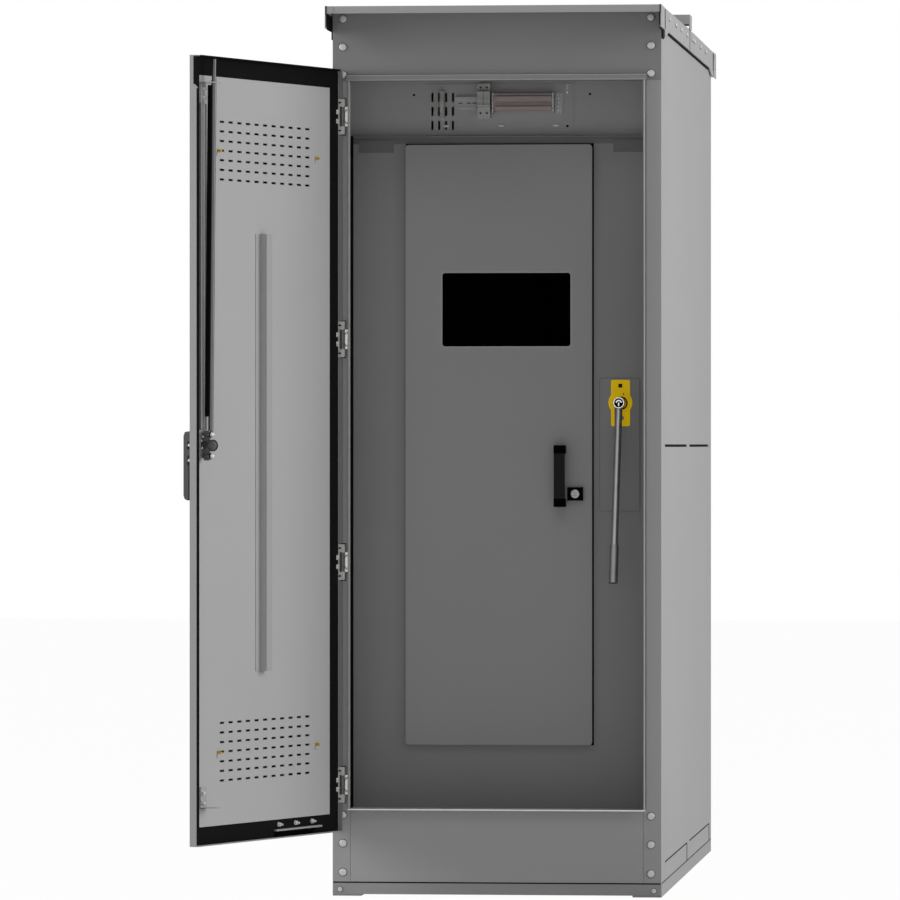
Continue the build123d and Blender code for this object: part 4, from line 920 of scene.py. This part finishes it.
def pull_caps():
    """Deep black end caps round the feet of the pull handle."""
    caps = Build()
    for z0, z1 in ((PULL_Z0 - 0.8, PULL_Z0 + 22.5), (PULL_Z1 - 22.5, PULL_Z1 + 0.8)):
        caps.block((PULL_X - 15.6, IN_FACE - 42.9, z0), (PULL_X + 16.6, IN_FACE - 0.2, z1), CUBICLE, 1.4, 3)
    caps.piece("pull_caps", "inner_door", "black_plastic", "deep_black")


def lock_details():
    """Raised rim of the lock barrel's face, and the ring and spokes sunk into it."""
    rim = Build()
    place = facing(CUBICLE, (LOCK_X, IN_FACE - 13.0, LOCK_Z), (0, -1, 0))
    rim.lathe([(11.8, -0.3), (11.8, 0.9), (11.0, 1.5), (8.2, 1.5), (7.6, 0.7), (7.6, -0.3)], place, 36, hollow=True)
    rim.piece("lock_rim", "lock_cam", "chrome", "dull_head")
    marks = Build()
    marks.lathe([(5.4, -0.2), (5.4, 0.3), (4.5, 0.3), (4.5, -0.2)], place, 24, hollow=True)
    marks.lathe([(2.2, -0.2), (2.2, 0.3), (0.0, 0.3)], place, 16)
    for turn in range(0, 360, 45):
        spoke = place @ Matrix.Rotation(math.radians(turn), 4, "Z")
        marks.block((4.9, -0.35, -0.2), (7.0, 0.35, 0.3), spoke)
    marks.piece("lock_face_marks", "lock_cam", "chrome", "mid_cast")


def rounded(x0, x1, z0, z1, radius):
    """Outline of a rectangle with rounded corners."""
    corners = ((x1, z1, 0), (x0, z1, 90), (x0, z0, 180), (x1, z0, 270))
    points = []
    for x, z, start in corners:
        centre = (x - radius if x == x1 else x + radius, z - radius if z == z1 else z + radius)
        points += ring_points(radius, 6, start, 90, centre)
    return points


def flat_ring(build, outer, inner, back, front):
    """Raised ring between two outlines of as many points, from the depth back to the depth front."""
    part = bmesh.new()
    rings = []
    for points, y in ((outer, back), (outer, front), (inner, front), (inner, back)):
        rings.append([part.verts.new((x, y, z)) for x, z in points])
    n = len(outer)
    for low, high in zip(rings, rings[1:]):
        for i in range(n):
            part.faces.new((low[i], low[(i + 1) % n], high[(i + 1) % n], high[i]))
    build.take(part, CUBICLE)


def window_bead():
    """Thin bead round the inner door's window, in a bright metal finish as a painted highlight along its rim, with
    paint-coloured fillets in its corners.
    """
    bead, fills = Build(), Build()
    x0, x1, z0, z1 = WINDOW
    r, wide = WINDOW_ROUND, 1.6
    outer = rounded(x0 - wide, x1 + wide, z0 - wide, z1 + wide, r + wide)
    flat_ring(bead, outer, rounded(x0, x1, z0, z1, r), IN_FACE + 1.2, IN_FACE - 1.2)
    # The bead's bright finish is a painted highlight.
    bead.piece("window_bead", "inner_door", "seal_rubber", "painted_highlight_edge")
    arc = ring_points(r, 6, 0, 90)
    flat = CUBICLE @ Matrix.Rotation(math.radians(90), 4, "X")
    for x, sx in ((x0, 1), (x1, -1)):
        for z, sz in ((z0, 1), (z1, -1)):
            outline = [(x - sx, z - sz)] + [(x + sx * (r - u), z + sz * (r - v)) for u, v in arc]
            fills.prism(outline, -(IN_FACE + 1.0), -(IN_FACE - 0.3), flat)
    fills.piece("window_corners", "inner_door", "inner_paint", "leaf_sheet")


def hub_details():
    """Bright ring round the hub's dark well, and inside it a bright arch of beads and a bar that paint the
    highlight of the hub's domed centre.
    """
    dome, well = Build(), Build()
    place = facing(CUBICLE, (HUB_X, HUB_FACE, HUB_Z), (0, -1, 0))
    well.lathe([(11.2, -9.2), (11.2, -4.0), (0.0, -4.0)], place, 32)
    well.lathe([(12.8, -1.0), (12.8, 0.5), (10.6, 0.5), (10.6, -1.0)], place, 40, hollow=True)
    ring = [(15.4, -0.4), (15.4, 1.2), (14.7, 1.9), (13.2, 1.9), (12.6, 1.0), (12.6, -0.4)]
    dome.lathe(ring, place, 48, hollow=True)
    front = CUBICLE @ Matrix.Translation((HUB_X, HUB_FACE, HUB_Z))
    outward = Matrix.Rotation(math.radians(90), 4, "X")
    # Bright bar and arch of beads: painted highlight of a domed centre.
    dome.block((-1.9, -1.2, -9.6), (1.9, 5.0, 1.0), front, 0.7)
    for i in range(13):
        a = math.radians(22 + 136 * i / 12)
        x, z = 7.4 * math.cos(a), 7.4 * math.sin(a) - 0.8
        bead = front @ Matrix.Translation((x, 0.0, z)) @ outward
        dome.lathe([(2.2, -4.2), (2.2, -2.2), (1.4, -1.2), (0.0, -1.0)], bead, 12)
    dome.piece("hub_ring_and_painted_highlight", "operating_handle", "chrome", "bright_bar")
    well.piece("hub_well", "operating_handle", "chrome", "deep_black")


def lock_plate_details():
    """Pointer over the hub and the dark square hole of the yellow plate, and a black ring behind the hub, set off
    to the right, that is the hub's painted shadow on the plate.
    """
    pointer, washer = Build(), Build()
    face = facing(CUBICLE, (HUB_X + 8.0, PLATE_FACE, HUB_Z + 26.0), (0, -1, 0))
    pointer.prism([(-2.4, -3.0), (2.4, -3.0), (0.0, 3.4)], -0.1, 0.35, face)
    hole = (HUB_X - 6.4, PLATE_FACE + 0.8, HUB_Z + 40.8), (HUB_X + 5.6, PLATE_FACE + 2.2, HUB_Z + 53.6)
    pointer.block(*hole, CUBICLE)
    pointer.piece("plate_pointer", "cabinet", "black_plastic")
    # Black ring off-centre to the right: painted shadow of the hub.
    face = facing(CUBICLE, (HUB_X + 1.2, PLATE_FACE, HUB_Z - 0.6), (0, -1, 0))
    washer.lathe([(18.6, -0.1), (18.6, 0.4), (18.0, 0.7), (14.4, 0.7), (14.4, -0.1)], face, 40, hollow=True)
    washer.piece("hub_painted_shadow", "cabinet", "black_plastic", "deep_black")


def cover_edges():
    """Thin raised edge of the mechanism cover, in a dark copy of the inner paint that is painted shade."""
    edge = Build()
    x0, x1 = HUB_X - 59.8, HUB_X + 54.0
    z0, z1 = HUB_Z - 304.1, HUB_Z + 70.1
    r, wide = 8.0, 1.3
    inner = rounded(x0 + wide, x1 - wide, z0 + wide, z1 - wide, r - wide)
    flat_ring(edge, rounded(x0, x1, z0, z1, r), inner, COVER_FACE + 0.05, COVER_FACE - 0.7)
    edge.piece("cover_edge", "cabinet", "inner_paint", "painted_shade_sheet")


# Whole part, lamps and camera


def dress_nodes(frame):
    """Gives every carried-over solid the finish of its material slot."""
    slots = {entry["node"]: entry["material_slot"] for entry in frame["record"]["subparts"]}
    for name, node in frame["nodes"].items():
        node.data.materials.clear()
        special = NODE_FINISH.get(name)
        node.data.materials.append(SPECIAL[special] if special else FINISHES[slots[name]])


# Lamps: name, place, what they look at, size, watts.
LAMPS = (
    ("right_softbox", (7.5, -1.6, 3.4), (0, -0.6, 1.2), (6.0, 5.0), 335),
    ("top_softbox", (0.0, -5.0, 7.0), (0, -1.0, 1.4), (5.0, 3.0), 42),
    ("low_softbox", (0.0, -9.5, 1.4), (0, -1.0, 1.4), (4.0, 2.2), 38),
    ("left_softbox", (-7.5, -3.4, 3.6), (0, -0.8, 1.2), (6.0, 5.0), 430),
)
WORLD_LIGHT = 0.12
CAMERA_AT = (1.77834, -20.81203, 1.25229)
CAMERA_YAW = 5.5412
CAMERA_LENS = 285.03
HORIZON_SHIFT = -0.00578


def area_lamp(name, at, target, size, watts):
    lamp = bpy.data.lights.new(name, "AREA")
    lamp.shape = "RECTANGLE"
    lamp.size, lamp.size_y = size
    lamp.energy = watts
    holder = bpy.data.objects.new(name, lamp)
    holder.location = at
    holder.rotation_euler = (Vector(target) - Vector(at)).to_track_quat("-Z", "Y").to_euler()
    bpy.context.scene.collection.objects.link(holder)


def studio():
    """Pale floor, soft lamps and a world that is white to the camera and dimmer as light."""
    bm = bmesh.new()
    bmesh.ops.create_grid(bm, x_segments=1, y_segments=1, size=30)
    mesh = bpy.data.meshes.new("studio_floor")
    bm.to_mesh(mesh)
    bm.free()
    floor = bpy.data.objects.new("studio_floor", mesh)
    bpy.context.scene.collection.objects.link(floor)
    mesh.materials.append(floor_finish("studio_floor"))
    for lamp in LAMPS:
        area_lamp(*lamp)
    world = bpy.data.worlds.new("studio_world")
    bpy.context.scene.world = world
    world.use_nodes = True
    sky = Graph(world.node_tree)
    light = sky.tree.nodes["Background"]
    sky.feed(light.inputs["Color"], (1.0, 1.0, 1.0, 1.0))
    sky.feed(light.inputs["Strength"], WORLD_LIGHT)
    white = sky.add("ShaderNodeBackground", Color=(1.0, 1.0, 1.0, 1.0))
    mix = sky.add("ShaderNodeMixShader", None, sky.backdrop_rays(), light.outputs[0], white.outputs[0])
    sky.feed(sky.tree.nodes["World Output"].inputs["Surface"], mix.outputs[0])


def camera():
    lens = bpy.data.cameras.new("photo_camera")
    lens.lens = CAMERA_LENS
    lens.sensor_width = 36.0
    lens.shift_y = HORIZON_SHIFT
    lens.clip_end = 200.0
    holder = bpy.data.objects.new("photo_camera", lens)
    holder.location = CAMERA_AT
    holder.rotation_euler = (math.pi / 2, 0.0, math.radians(CAMERA_YAW))
    bpy.context.scene.collection.objects.link(holder)
    bpy.context.scene.camera = holder


def corners(box):
    return [[round(v, 5) for v in corner] for corner in box]


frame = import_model()
bpy.context.scene.view_settings.view_transform = "Standard"
dress_nodes(frame)
for dress in (carriage_bolts, lip_noses, joint_shadow_lines, roof_details, breaker_details, relay_details, rail_details,
              heater_details, compartment_details, dead_front_details, edge_trim, hinge_details, guide_bolts,
              stay_nuts, latch_details, outside_handle_details, rod_tip, clip_details, pull_caps, lock_details,
              window_bead, hub_details, lock_plate_details, cover_edges):
    dress()
studio()
camera()
